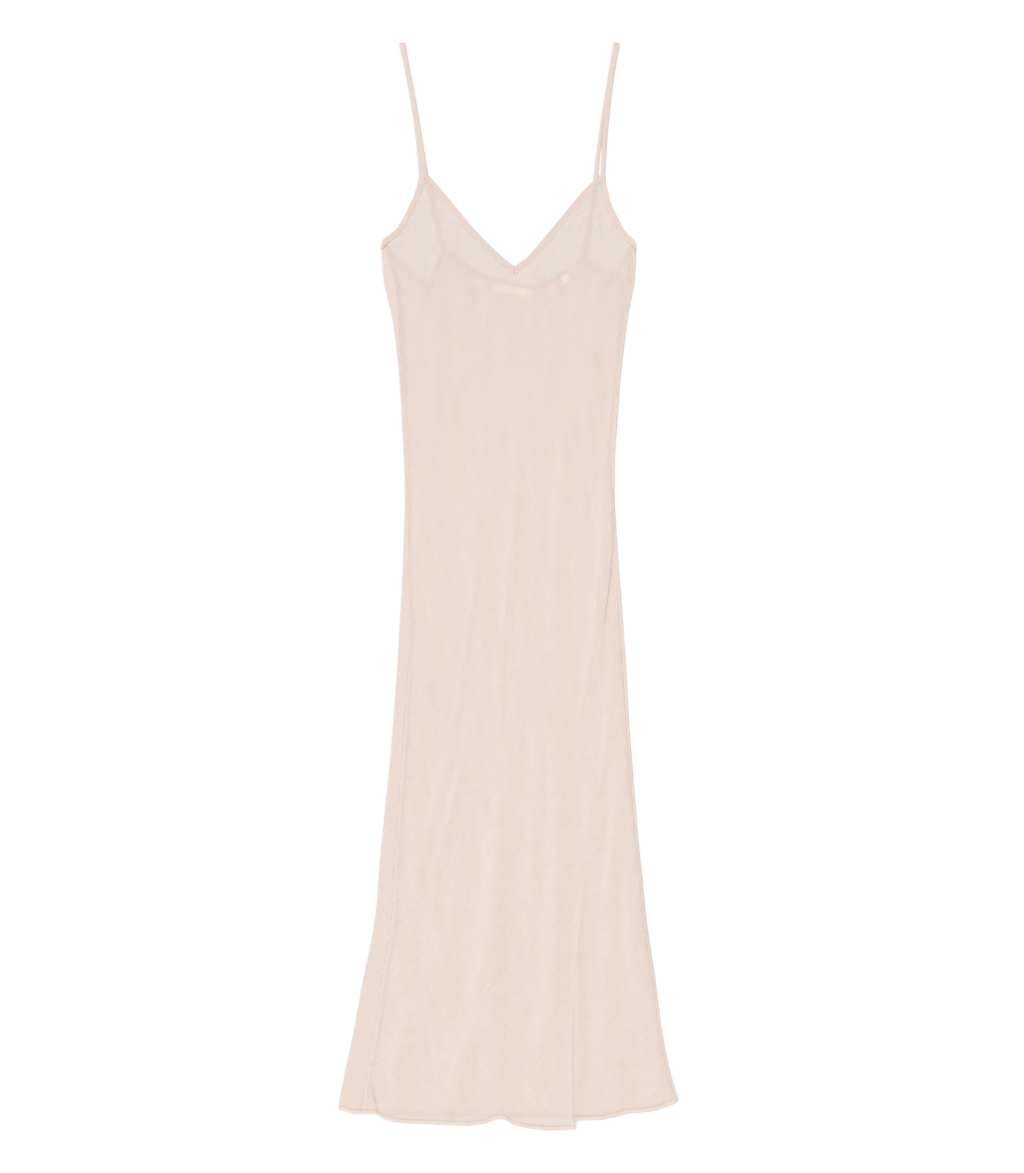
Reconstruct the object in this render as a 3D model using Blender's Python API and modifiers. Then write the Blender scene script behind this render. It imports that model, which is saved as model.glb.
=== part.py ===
"""Slip dress laid flat: a long bias-cut slip with a V neck, a low back and thin straps on rings.

Lengths are in millimetres; MM turns them into metres where a mesh is made.
X runs across the dress, Y from the hem towards the straps, Z up from the surface it lies on.
The origin is on that surface, below the middle of the dress's outline. The front lies on top of
the back, and left and right are as seen from above. Every edge is walked from left to right, so
that the cloth is on its right-hand side.
"""

import math

import bmesh
import bpy
import numpy as np

MM = 0.001

# Cloth and trims
WALL = 1.0  # thickness of every panel, binding, hem and strap
SEAM_GAP = 0.3  # clearance between neighbouring pieces
BINDING_WIDTH = 6.8
HEM_WIDTH = 4.5
STRAP_WIDTH = 6.5
LABEL_WALL = 0.5
RING_RADIUS = 4.25  # to the middle of its wire
RING_WIRE_RADIUS = 0.7

# Heights of the middle of the cloth
BACK_LEVEL = WALL / 2
FRONT_LEVEL = 2.8  # where the front lies on the back and its labels
FLOOR_LEVEL = 0.6  # where the front lies past the back's edge
STRAP_FRONT_LEVEL = 2.0  # the front stretch of a strap, over its back stretch
EDGE_RADIUS = (FRONT_LEVEL - BACK_LEVEL) / 2  # of the fold along each side
SINK_START = 3.0  # distance past the back's edge where the front begins to sink
SINK_LENGTH = 25.0
OVER_CLEARANCE = 1.0  # from what the front lies over to the middle of the front

UNDERARM = 439.6  # height where the side folds end
LOWEST_ROW = -640.0  # first straight row above the curved hem
HIGHEST_BACK_ROW = 345.0  # last straight row below the back's curved top edge
LOBE_TOP = 519.0  # where the front panel ends below the straps
CORNER_ROW_STEP = 3.0  # from the armhole's inner corner down to the row below it


def table(columns, *rows):
    """One array for each named column."""
    return dict(zip(columns.split(), np.array(rows, float).T))


def read(rows, column, y):
    """A column at height y, on a smooth curve through the rows, which run downwards or upwards."""
    order = np.argsort(rows["y"])
    keys, values = rows["y"][order], rows[column][order]
    slopes = np.gradient(values, keys)
    i = int(np.clip(np.searchsorted(keys, y) - 1, 0, len(keys) - 2))
    step = keys[i + 1] - keys[i]
    t = float(np.clip((y - keys[i]) / step, 0, 1))
    ease = t * t * (3 - 2 * t)
    start, end = values[i], values[i + 1]
    tangents = step * t * (1 - t) * ((1 - t) * slopes[i] - t * slopes[i + 1])
    return float(start + (end - start) * ease + tangents)


# Outline of the laid dress below the underarms. A side seam lies on top, inset from the outline.
OUTLINE = table(
    "y     left   right  left_inset  right_inset",
    (440, -165.3, 165.8, 4.5, 4.0),
    (397, -162.0, 163.5, 13.0, 3.0),
    (345, -150.5, 154.0, 7.0, 2.6),
    (293, -143.8, 147.6, 2.8, 2.6),
    (215, -138.5, 141.0, 2.6, 2.6),
    (124, -134.8, 137.2, 2.8, 2.6),
    (33, -137.0, 142.4, 6.5, 4.2),
    (-71, -142.4, 150.2, 12.5, 4.2),
    (-201, -151.5, 158.0, 13.5, 2.8),
    (-357, -167.0, 171.0, 17.5, 2.6),
    (-435, -173.6, 178.8, 20.5, 2.6),
    (-513, -189.0, 190.5, 23.5, 2.6),
    (-591, -203.5, 201.0, 26.5, 2.6),
    (-643, -214.6, 212.6, 28.0, 2.6),
    (-669, -219.6, 220.8, 28.4, 2.6),
    (-690, -222.0, 222.6, 28.6, 2.6),
)

# Bottom edges, the front's on each side of its pleat
FRONT_HEM_LEFT = table(
    "y      x",
    (-686.3, -202.2), (-686.3, -172.2), (-692.8, -161.8), (-695.8, -152.8), (-698.4, -133.2),
    (-699.7, -102.0), (-701.7, -52.6), (-699.1, -31.9), (-694.1, -18.9), (-692.4, -11.1),
    (-693.0, -5.1), (-700.4, 5.9), (-705.3, 27.3), (-707.5, 47.5), (-706.2, 85.2),
)
FRONT_HEM_RIGHT = table(
    "y      x",
    (-693.9, 86.5), (-694.5, 107.2), (-693.9, 123.5), (-689.8, 138.5), (-685.9, 154.1),
    (-684.5, 173.6), (-681.3, 193.8), (-673.7, 213.8), (-669.3, 221.0),
)
BACK_HEM = table(
    "y      x",
    (-680.9, -221.7), (-686.3, -202.2), (-686.3, -172.2), (-690.6, -102.0), (-689.5, -11.1),
    (-690.6, 86.5), (-682.8, 158.0), (-678.0, 193.8), (-669.3, 221.0),
)

# Upright folds of the front. Their left side lies on top: it rises by rise and overlaps the right
# side by overlap, or meets it in a soft step where overlap is negative.
PLEAT = table(
    "y     x      rise  overlap",
    (420, 80.0, 0.0, -4.0),
    (150, 95.0, 0.0, -8.0),
    (-278, 99.5, 0.0, -14.0),
    (-360, 98.0, 1.2, -10.0),
    (-430, 94.5, 2.4, -4.0),
    (-497, 89.0, 2.6, 2.0),
    (-549, 87.0, 2.6, 5.0),
    (-618, 84.5, 2.6, 8.0),
    (-710, 85.2, 2.6, 11.0),
)
TUCK = table(
    "y     x      rise  overlap",
    (420, 150.0, 0.0, -4.0),
    (345, 140.0, 0.0, -4.0),
    (215, 128.5, 0.0, -4.0),
    (140, 126.0, 0.6, -3.5),
    (92, 129.5, 2.2, -2.0),
    (48, 133.0, 2.6, -0.5),
    (13, 131.4, 2.6, 0.5),
    (-43, 124.2, 2.4, 0.0),
    (-71, 120.0, 1.6, -2.0),
    (-122, 117.5, 0.8, -6.0),
    (-200, 118.0, 0.0, -8.0),
    (-400, 137.0, 0.0, -8.0),
    (-710, 188.0, 0.0, -8.0),
)
FOLD_REACH = 60.0  # how far the raised side of an upright fold takes to come down

# Soft ridges of the front: crest from (x0, y0) to (x1, y1)
RIDGES = table(
    "x0     y0    x1     y1    half_width  height",
    (-34, 230, -62, -98, 13, 1.1),
    (-62, -80, -84, -235, 13, 1.0),
    (60, 210, 44, -320, 15, 1.1),
    (8, 175, -8, -190, 9, 0.8),
    (112, 120, 78, -235, 12, 0.8),
    (-26, -280, -40, -620, 16, 1.3),
    (28, -440, 26, -650, 15, 1.3),
    (-72, -250, -100, -390, 14, 0.9),
    (-110, -420, -128, -620, 18, 1.0),
    (135, -300, 128, -560, 14, 1.0),
)

# Front neck and armholes
ARMHOLE_LEFT = table(
    "y      x",
    (440.9, -165.0), (449.5, -163.0), (457.3, -153.2), (465.1, -145.0), (480.7, -135.8),
    (496.3, -128.1), (511.9, -121.5), (523.0, -118.4), (532.0, -116.6),
)
NECK_LEFT = table(
    "y      x",
    (533.4, -104.3), (519.7, -91.7), (504.1, -78.7), (488.5, -65.7), (472.9, -52.6),
    (457.3, -38.6), (441.7, -23.6), (426.1, -6.3), (418.6, 2.8), (415.4, 6.7),
)
NECK_RIGHT = table(
    "y      x",
    (415.4, 8.4), (419.2, 14.2), (425.8, 22.5), (441.7, 37.2), (457.3, 50.4),
    (472.9, 63.3), (488.5, 76.0), (504.1, 89.0), (519.7, 103.4), (533.0, 118.4),
)
ARMHOLE_RIGHT = table(
    "y      x",
    (532.0, 125.9), (519.3, 127.3), (511.9, 129.3), (496.3, 133.4), (480.7, 140.9),
    (465.1, 148.9), (457.3, 154.4), (449.5, 162.6), (441.3, 165.4),
)
NECK_MITRE = 12.0  # length of the seam where the neck bindings meet
NECK_POINT_X = 7.55
NECK_POINT_TURN = (5.0, 4.9)  # from the point to the first corner beside it, on the right
NECK_RIGHT_END = (119.2, 524.6)  # inner corner of the right neck binding, at the armhole binding
NECK_POINT_Y = NECK_LEFT["y"].min() - NECK_MITRE - SEAM_GAP  # of the panel, below its bindings

# Back neck and armholes; each armhole is folded to a corner where it lies
BACK_ARMHOLE_LEFT = table(
    "y      x",
    (439.6, -163.3), (429.5, -148.0), (418.1, -134.6), (404.8, -119.7), (391.2, -104.3),
    (407.0, -98.8), (422.4, -93.5),
)
BACK_NECK = table(
    "y      x",
    (424.9, -92.6), (431.6, -87.6), (434.7, -79.7), (427.6, -68.8), (419.2, -56.8),
    (410.7, -43.4), (402.3, -25.1), (395.5, -3.9), (391.6, 17.0), (391.0, 29.6),
    (392.4, 40.2), (399.4, 54.2), (407.2, 67.0), (416.3, 83.2), (422.4, 91.5), (427.2, 93.4),
)
BACK_ARMHOLE_RIGHT = table(
    "y      x",
    (423.6, 101.6), (414.7, 116.4), (405.8, 131.2), (416.6, 140.4), (427.5, 149.5),
    (439.6, 163.7),
)
LEFT_TIP = (-83.6, 425.0)  # the back panel's corners under the straps
RIGHT_TIP = (97.4, 416.6)
BACK_NECK_LEFT_END = ((-90.8, 423.6), (-85.6, 426.6), (-79.6, 426.2))  # inner line of the binding
BACK_NECK_RIGHT_END = ((95.2, 417.6), (98.4, 420.4))
BACK_SIDE_LEFT = -163.5  # where the back's top edge meets its side folds
BACK_SIDE_RIGHT = 164.0

# What the front lies over past the back's edge: back strap, ring and tab, with their top
UNDER_FRONT = table(
    "y      left    left_top  right   right_top",
    (560, -113.0, 1.0, 117.0, 1.0),
    (519, -105.2, 1.0, 112.2, 1.0),
    (491, -99.1, 1.0, 107.4, 1.0),
    (469, -92.7, 1.1, 104.0, 1.0),
    (458, -90.0, 1.4, 102.3, 1.1),
    (449, -86.5, 1.6, 100.8, 1.5),
    (438, -85.0, 1.5, 99.2, 1.6),
    (430, -83.0, 1.2, 98.7, 1.5),
    (420, -81.0, 1.0, 98.0, 1.2),
)
TENT_WIDTH = 9.0  # half width of the front's rise over them, for something flat
TENT_SPREAD = 1.3  # and how much wider for each millimetre of their height

# Straps, from the front joint over the fold at the top and down to the ring
STRAP_LEFT_FRONT = table(
    "y      x",
    (532.4, -113.2), (545.0, -113.2), (566.5, -115.2), (605.5, -120.4), (644.5, -126.8),
    (683.5, -134.0), (705.6, -138.7),
)
STRAP_LEFT_BACK = table(
    "y      x",
    (705.6, -138.7), (683.5, -134.0), (644.5, -126.4), (605.5, -119.6), (566.5, -114.0),
    (543.0, -109.9), (519.0, -105.2), (507.7, -101.8), (491.0, -98.6), (468.6, -92.7),
    (455.0, -88.8),
)
STRAP_RIGHT_FRONT = table(
    "y      x",
    (532.4, 122.6), (545.0, 123.0), (558.7, 124.2), (582.1, 125.0), (605.5, 127.0),
    (644.5, 131.2), (683.5, 137.0), (705.6, 140.6),
)
STRAP_RIGHT_BACK = table(
    "y      x",
    (705.6, 140.6), (683.5, 136.0), (644.5, 129.4), (605.5, 123.2), (582.1, 119.8),
    (558.7, 116.6), (543.1, 114.6), (517.9, 111.8), (497.6, 108.4), (479.8, 105.7),
    (462.8, 103.0), (443.2, 100.2),
)

# Rings: centre of each, and the tabs that tie them to the back
LEFT_RING = (-86.5, 449.4)
RIGHT_RING = (99.4, 437.9)
LEFT_TAB = table("y      x", (435.3, -83.4), (444.1, -85.2))
RIGHT_TAB = table("y      x", (426.4, 98.4), (429.5, 98.7), (432.6, 99.0))
TAB_WIDTH = 5.4

# Labels on the inside of the back neck: centre, length, width and turn
NECK_LABEL = dict(x=4.2, y=384.0, length=54.6, width=12.4, turn=-10.3)
SIZE_LABEL = dict(x=74.5, y=398.6, length=11.6, width=11.2, turn=35.5)
LABEL_HEIGHT = 1.55

# Rows that the front and the back share, so that their seams stay parallel
SEAM_TOP = UNDERARM - BINDING_WIDTH - SEAM_GAP
STRAIGHT_ROWS = np.linspace(LOWEST_ROW, HIGHEST_BACK_ROW, 21)
UPPER_ROWS = (374.0, NECK_POINT_Y, 420.0, SEAM_TOP)

# Numbers of steps
LEFT_STEPS = 13  # across the front: left seam to middle
MIDDLE_STEPS = 5  # middle to pleat
PLEAT_TO_TUCK_STEPS = 3
EDGE_STEPS = 4  # round each side fold
FOLD_STEPS = 6  # points across an upright fold
RING_STEPS = 20

CLOTH_COLOUR = (0.857, 0.693, 0.608)
TRIM_COLOUR = (0.80, 0.64, 0.56)
LABEL_COLOUR = (0.86, 0.80, 0.70)
RING_COLOUR = (0.82, 0.70, 0.62)


def smoothstep(t):
    t = float(np.clip(t, 0, 1))
    return t * t * (3 - 2 * t)


def points(edge):
    """An edge table as rows of (x, y)."""
    return np.column_stack([edge["x"], edge["y"]])


def inward(edge, distance):
    """Points beside an edge, on its right-hand side, mitred at its corners."""
    steps = np.diff(edge, axis=0)
    steps /= np.linalg.norm(steps, axis=1)[:, None]
    before = np.vstack([steps[:1], steps])
    after = np.vstack([steps, steps[-1:]])
    ahead = before + after
    ahead /= np.linalg.norm(ahead, axis=1)[:, None]
    least_cosine = 0.62  # shortens the mitre of a sharp corner
    stretch = distance / np.maximum((ahead * after).sum(axis=1), least_cosine)
    return edge + stretch[:, None] * np.column_stack([ahead[:, 1], -ahead[:, 0]])


# ---------------------------------------------------------------- the front's resting height

BACK_TOP = np.vstack([points(BACK_ARMHOLE_LEFT), points(BACK_NECK), points(BACK_ARMHOLE_RIGHT)])


def ridge_height(x, y):
    """Height that the soft ridges add."""
    total = 0.0
    for k in range(len(RIDGES["x0"])):
        start = np.array([RIDGES["x0"][k], RIDGES["y0"][k]])
        end = np.array([RIDGES["x1"][k], RIDGES["y1"][k]])
        crest = end - start
        along = float(np.dot((x, y) - start, crest) / np.dot(crest, crest))
        if 0 < along < 1:
            across = abs(float(np.cross(crest, (x, y) - start))) / np.linalg.norm(crest)
            bell = math.exp(-((across / RIDGES["half_width"][k]) ** 2))
            total += RIDGES["height"][k] * bell * math.sin(math.pi * along) ** 0.7
    return total


def front_height(x, y):
    """Middle of the front cloth: on the back, then down to the surface past the back's edge."""
    past = y - np.interp(x, BACK_TOP[:, 0], BACK_TOP[:, 1])
    sink = smoothstep((past - SINK_START) / SINK_LENGTH)
    height = FRONT_LEVEL + (FLOOR_LEVEL - FRONT_LEVEL) * sink + ridge_height(x, y)
    if y > UNDER_FRONT["y"].min():
        for side in ("left", "right"):
            top = read(UNDER_FRONT, side + "_top", y) + OVER_CLEARANCE
            distance = abs(x - read(UNDER_FRONT, side, y))
            bell = math.exp(-((distance / (TENT_WIDTH + TENT_SPREAD * top)) ** 3))
            height = max(height, FLOOR_LEVEL + (top - FLOOR_LEVEL) * bell)
    return height


# ---------------------------------------------------------------- points of the front

def fold_points(fold, y):
    """Six (x, rise) points across an upright fold, from its raised left side to its right."""
    x, rise, overlap = (read(fold, column, y) for column in ("x", "rise", "overlap"))
    radius = rise / 4
    lapped = smoothstep((overlap + 2) / 4)
    back_and_forth = (-1, 0, -1, 1, 0, 1)
    result = []
    for k in range(FOLD_STEPS):
        shift = (1 - lapped) * k / (FOLD_STEPS - 1) + lapped * (k > 2)
        soft_fall = 1 - k / (FOLD_STEPS - 1)
        lapped_fall = (1, 0.75, 0.5, 0.5, 0.25, 0)[k]
        fall = soft_fall + (lapped_fall - soft_fall) * lapped
        result.append((x - overlap * shift + radius * lapped * back_and_forth[k], rise * fall))
    return result


def raised_by(fold, x, y):
    """Height of one upright fold's raised left side at x."""
    start, rise = fold_points(fold, y)[0]
    return rise * smoothstep(1 - (start - x) / FOLD_REACH) if x < start else 0.0


def raised(x, y):
    """Height of the raised left sides of both upright folds at x."""
    return raised_by(PLEAT, x, y) + raised_by(TUCK, x, y)


def seam_x(side, y, outside):
    """X of a side seam's cut edge; outside is -1 for the front's and 1 for the back's."""
    sign = 1 if side == "left" else -1
    inset = read(OUTLINE, side + "_inset", y) - outside * SEAM_GAP / 2
    return read(OUTLINE, side, y) + sign * inset


def front_columns(y):
    """(x, raise) of each column of the front at a height y."""
    left, right = seam_x("left", y, -1), seam_x("right", y, -1)
    pleat, tuck = fold_points(PLEAT, y), fold_points(TUCK, y)
    flat = list(np.linspace(left, NECK_POINT_X, LEFT_STEPS + 1))
    flat += list(np.linspace(NECK_POINT_X, pleat[0][0], MIDDLE_STEPS + 1))[1:-1]
    columns = [(x, raised(x, y)) for x in flat]
    columns += [(x, rise + raised_by(TUCK, x, y)) for x, rise in pleat]
    between = np.linspace(pleat[-1][0], tuck[0][0], PLEAT_TO_TUCK_STEPS + 1)[1:-1]
    columns += [(x, raised_by(TUCK, x, y)) for x in between]
    columns += list(tuck)
    columns.append((right, 0.0))
    return columns


NECK_COLUMN = LEFT_STEPS
PLEAT_COLUMN = LEFT_STEPS + MIDDLE_STEPS
COLUMNS = PLEAT_COLUMN + FOLD_STEPS + PLEAT_TO_TUCK_STEPS - 1 + FOLD_STEPS + 1


def hem_y(column, x):
    """Bottom edge of the front for a column, which passes from one side of the pleat to the other."""
    hem = FRONT_HEM_RIGHT if column >= PLEAT_COLUMN + FOLD_STEPS / 2 else FRONT_HEM_LEFT
    return np.interp(x, hem["x"], hem["y"])


def front_point(column, y):
    x, rise = front_columns(y)[column]
    return (x, y, front_height(x, y) + rise)


def front_row_above_hem(distance):
    """A row of the front at a distance above its bottom edge."""
    row = []
    for column in range(COLUMNS):
        y = FRONT_HEM_LEFT["y"].mean()
        for _ in range(3):
            x = front_columns(y)[column][0]
            y = hem_y(column, x) + distance
        row.append(front_point(column, y))
    return row


def on_front(x, y):
    return (x, y, front_height(x, y))


# ---------------------------------------------------------------- points of the back

def side_fold(side, y):
    """Points of the back's side fold at height y, from its seam on top to the flat underside."""
    sign = 1 if side == "left" else -1
    centre = read(OUTLINE, side, y) + sign * (WALL / 2 + EDGE_RADIUS)
    seam = seam_x(side, y, 1)
    seam_height = front_height(seam, y) + (raised_by(TUCK, seam, y) if side == "right" else 0)
    result = [(seam, seam_height)]
    for k in range(EDGE_STEPS + 1):
        angle = math.pi / 2 - math.pi * k / EDGE_STEPS
        x = centre - sign * EDGE_RADIUS * math.cos(angle)
        result.append((x, BACK_LEVEL + EDGE_RADIUS * (1 + math.sin(angle))))
    return result


def neck_binding_inner(edge, distance):
    """Inner line of the back neck binding, whose ends are square to the tabs."""
    line = inward(points(edge), distance)
    lowered = (0, BINDING_WIDTH - distance)
    line[:3] = np.array(BACK_NECK_LEFT_END) + lowered
    line[-2:] = np.array(BACK_NECK_RIGHT_END) + lowered
    return line


def back_top_points():
    """Top edge of the back's underside, from one side fold to the other."""
    gap = BINDING_WIDTH + SEAM_GAP
    left = inward(points(BACK_ARMHOLE_LEFT), gap)
    left[0] = (BACK_SIDE_LEFT, UNDERARM - gap)
    neck = neck_binding_inner(BACK_NECK, gap)
    right = inward(points(BACK_ARMHOLE_RIGHT), gap)
    right[-1] = (BACK_SIDE_RIGHT, UNDERARM - gap)
    return np.vstack([left[:-1], [LEFT_TIP], neck[3:-2], [RIGHT_TIP], right[1:]])


BACK_TOP_POINTS = back_top_points()
BACK_STEPS = len(BACK_TOP_POINTS) - 1


def back_section(y):
    """Points (x, z) round the back at height y, from its left seam, under the dress, to its right."""
    left, right = side_fold("left", y), side_fold("right", y)
    flat = np.linspace(left[-1][0], right[-1][0], BACK_STEPS + 1)[1:-1]
    return left + [(x, BACK_LEVEL) for x in flat] + right[::-1]


FIRST_FLAT = EDGE_STEPS + 1
LAST_FLAT = FIRST_FLAT + BACK_STEPS
BACK_COLUMNS = LAST_FLAT + EDGE_STEPS + 2


def back_row(heights):
    """A row of the back with its own height for each column."""
    row = []
    for column, y in enumerate(heights):
        x, z = back_section(y)[column]
        row.append((x, y, z))
    return row


def back_row_above_hem(distance):
    """A row of the back at a distance above its bottom edge."""
    section = back_section(LOWEST_ROW)
    return back_row([np.interp(x, BACK_HEM["x"], BACK_HEM["y"]) + distance for x, _ in section])


def back_rows():
    rows = [back_row_above_hem(HEM_WIDTH + SEAM_GAP)]
    rows += [back_row([y] * BACK_COLUMNS) for y in STRAIGHT_ROWS]
    tops = np.full(BACK_COLUMNS, SEAM_TOP)
    tops[FIRST_FLAT : LAST_FLAT + 1] = BACK_TOP_POINTS[:, 1]
    for y in UPPER_ROWS:
        share = (y - HIGHEST_BACK_ROW) / (SEAM_TOP - HIGHEST_BACK_ROW)
        row = back_row(HIGHEST_BACK_ROW + share * (tops - HIGHEST_BACK_ROW))
        for column in range(FIRST_FLAT + 1, LAST_FLAT):
            x, y, z = row[column]
            wanted = BACK_TOP_POINTS[column - FIRST_FLAT][0]
            row[column] = (x + (wanted - x) * share ** 1.5, y, z)
        rows.append(row)
    return rows


# ---------------------------------------------------------------- making the objects

def clear_scene():
    for thing in list(bpy.data.objects):
        bpy.data.objects.remove(thing, do_unlink=True)


def make_collection(name):
    collection = bpy.data.collections.new(name)
    bpy.context.scene.collection.children.link(collection)
    return collection


def make_material(name, colour, roughness):
    material = bpy.data.materials.new(name)
    material.use_nodes = True
    shader = material.node_tree.nodes["Principled BSDF"]
    shader.inputs["Base Color"].default_value = (*colour, 1.0)
    shader.inputs["Roughness"].default_value = roughness
    return material


def add_grid(mesh, rows):
    """Adds a grid of faces through rows of points in millimetres."""
    corners = [[mesh.verts.new([c * MM for c in point]) for point in row] for row in rows]
    for lower, upper in zip(corners, corners[1:]):
        for k in range(len(lower) - 1):
            mesh.faces.new((lower[k], lower[k + 1], upper[k + 1], upper[k]))


def add_object(name, mesh, colour, roughness=0.7):
    data = bpy.data.meshes.new(name)
    mesh.to_mesh(data)
    mesh.free()
    thing = bpy.data.objects.new(name, data)
    DRESS.objects.link(thing)
    data.materials.append(make_material(name, colour, roughness))
    return thing


def cloth(name, grids, colour=CLOTH_COLOUR, wall=WALL):
    """A wall of cloth, as thick as wall, about the surface through one or more grids of points."""
    mesh = bmesh.new()
    for rows in grids:
        add_grid(mesh, rows)
    merge_distance = 0.00001
    bmesh.ops.remove_doubles(mesh, verts=mesh.verts, dist=merge_distance)
    bmesh.ops.recalc_face_normals(mesh, faces=mesh.faces)
    thing = add_object(name, mesh, colour)
    solid = thing.modifiers.new("Wall", "SOLIDIFY")
    solid.thickness = wall * MM
    solid.offset = 0.0
    solid.use_even_offset = True
    return thing


def strip(outer, inner, place, steps=2):
    """Grid between two lines of points, laid on a surface that place gives."""
    rows = []
    for k in range(steps + 1):
        line = outer + (inner - outer) * k / steps
        rows.append([place(x, y) for x, y in line])
    return rows


def make_front():
    gap = BINDING_WIDTH + SEAM_GAP
    left_edge = inward(points(ARMHOLE_LEFT), gap)
    right_edge = inward(points(ARMHOLE_RIGHT), gap)
    left_neck = inward(points(NECK_LEFT), gap)
    right_neck = inward(points(NECK_RIGHT), gap)
    left_neck[-1] = right_neck[0] = (NECK_POINT_X, NECK_POINT_Y)
    right_neck[1] = right_neck[0] + NECK_POINT_TURN

    body = [front_row_above_hem(HEM_WIDTH + SEAM_GAP)]
    for y in [*STRAIGHT_ROWS, *UPPER_ROWS[:2]]:
        body.append([front_point(column, y) for column in range(COLUMNS)])

    def lobe(first, last, armhole, neck, armhole_is_left):
        """Rows of one side of the front above the point of the neck."""
        ends = body[-1]
        low_x, high_x = ends[first][0], ends[last][0]
        shares = [(ends[k][0] - low_x) / (high_x - low_x) for k in range(first, last + 1)]
        corner_y = armhole[:, 1].min()
        heights = [*UPPER_ROWS[1:], corner_y - CORNER_ROW_STEP]
        heights += [y for y in sorted(armhole[:, 1]) if y < LOBE_TOP] + [LOBE_TOP]
        rows = []
        for y in heights:
            order = np.argsort(armhole[:, 1])
            side = "left" if armhole_is_left else "right"
            outer = np.interp(y, armhole[order, 1], armhole[order, 0])
            if y < corner_y:
                outer = seam_x(side, y, -1)
            order = np.argsort(neck[:, 1])
            inner = np.interp(y, neck[order, 1], neck[order, 0])
            start, end = (outer, inner) if armhole_is_left else (inner, outer)
            rows.append([on_front(start + (end - start) * share, y) for share in shares])
        rows[0] = ends[first : last + 1]
        return rows

    left = lobe(0, NECK_COLUMN, left_edge, left_neck, True)
    right = lobe(NECK_COLUMN, COLUMNS - 1, right_edge, right_neck, False)
    cloth("front_panel", [body, left, right])


def make_neck_bindings():
    for name, edge in (("left", NECK_LEFT), ("right", NECK_RIGHT)):
        outer = points(edge)
        inner = inward(outer, BINDING_WIDTH)
        sign, end = (-1, -1) if name == "left" else (1, 0)
        outer[end][0] = NECK_POINT_X + sign * SEAM_GAP / 2
        inner[end] = (outer[end][0], outer[end][1] - NECK_MITRE)
        if name == "right":
            inner[1] = inner[end] + NECK_POINT_TURN
            inner[-1] = NECK_RIGHT_END
        cloth("neck_binding_" + name, [strip(outer, inner, on_front)], TRIM_COLOUR)


def make_front_armhole_bindings():
    for name, edge in (("left", ARMHOLE_LEFT), ("right", ARMHOLE_RIGHT)):
        outer = points(edge)
        inner = inward(outer, BINDING_WIDTH)
        top = -1 if name == "left" else 0
        inner[top][1] = outer[top][1]
        cloth("front_armhole_binding_" + name, [strip(outer, inner, on_front)], TRIM_COLOUR)


def on_back(x, y):
    return (x, y, BACK_LEVEL)


def make_back_bindings():
    for name, edge in (("left", BACK_ARMHOLE_LEFT), ("right", BACK_ARMHOLE_RIGHT)):
        outer = points(edge)
        inner = inward(outer, BINDING_WIDTH)
        end = 0 if name == "left" else -1
        fold_bottom = side_fold(name, UNDERARM - BINDING_WIDTH)[-1][0]
        outer[end][0] = fold_bottom
        inner[end] = (fold_bottom, UNDERARM - BINDING_WIDTH)
        flat = strip(outer, inner, on_back)
        heights = [UNDERARM, UNDERARM - BINDING_WIDTH / 2, UNDERARM - BINDING_WIDTH]
        wrap = [[(x, y, z) for x, z in side_fold(name, y)] for y in heights]
        for row, flat_row in zip(wrap, flat):
            row[-1] = flat_row[end]
        cloth("back_armhole_binding_" + name, [flat, wrap], TRIM_COLOUR)
    inner = neck_binding_inner(BACK_NECK, BINDING_WIDTH)
    cloth("back_neck_binding", [strip(points(BACK_NECK), inner, on_back)], TRIM_COLOUR)


def make_hems():
    for name, row_above_hem in (("front", front_row_above_hem), ("back", back_row_above_hem)):
        rows = [row_above_hem(share * HEM_WIDTH) for share in (0, 0.5, 1)]
        cloth(name + "_hem", [rows], TRIM_COLOUR)


def make_strap(name, front, back):
    """One strap: up from the front joint, over its fold and down to the ring."""
    radius = (STRAP_FRONT_LEVEL - BACK_LEVEL) / 2
    up, down = points(front), points(back)
    line = [(x, y, STRAP_FRONT_LEVEL) for x, y in up]
    top_direction = (up[-1] - up[-2]) / np.linalg.norm(up[-1] - up[-2])
    for angle in (45, 90, 135):
        out = radius * math.sin(math.radians(angle)) * top_direction
        height = BACK_LEVEL + radius * (1 + math.cos(math.radians(angle)))
        line.append((*(up[-1] + out), height))
    line += [(x, y, BACK_LEVEL) for x, y in down]
    rows = strap_rows(np.array(line), STRAP_WIDTH, len(up), top_direction)
    cloth("strap_" + name, [rows], TRIM_COLOUR)


def strap_rows(line, width, fold_start, fold_direction):
    """Left and right edges of a strap; across its fold they stay square to the fold."""
    ahead = np.gradient(line[:, :2], axis=0)
    ahead[fold_start - 1 : fold_start + 4] = fold_direction
    ahead *= np.where(ahead[:, 1:] < 0, -1, 1)
    ahead /= np.linalg.norm(ahead, axis=1)[:, None]
    side = np.column_stack([ahead[:, 1], -ahead[:, 0], np.zeros(len(ahead))])
    return [list(line - side * width / 2), list(line + side * width / 2)]


def make_tab(name, edge):
    half = TAB_WIDTH / 2
    rows = [[on_back(x + side * half, y) for x, y in points(edge)] for side in (-1, 1)]
    cloth("back_tab_" + name, [rows], TRIM_COLOUR)


def make_ring(name, centre):
    """A ring of clear wire, lying flat."""
    bpy.ops.mesh.primitive_torus_add(
        major_radius=RING_RADIUS * MM,
        minor_radius=RING_WIRE_RADIUS * MM,
        major_segments=RING_STEPS,
        minor_segments=8,
        location=(centre[0] * MM, centre[1] * MM, RING_WIRE_RADIUS * MM),
    )
    ring = bpy.context.object
    ring.name = "strap_ring_" + name
    for holder in list(ring.users_collection):
        holder.objects.unlink(ring)
    DRESS.objects.link(ring)
    ring.data.shade_smooth()
    ring.data.materials.append(make_material(ring.name, RING_COLOUR, 0.2))


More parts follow.
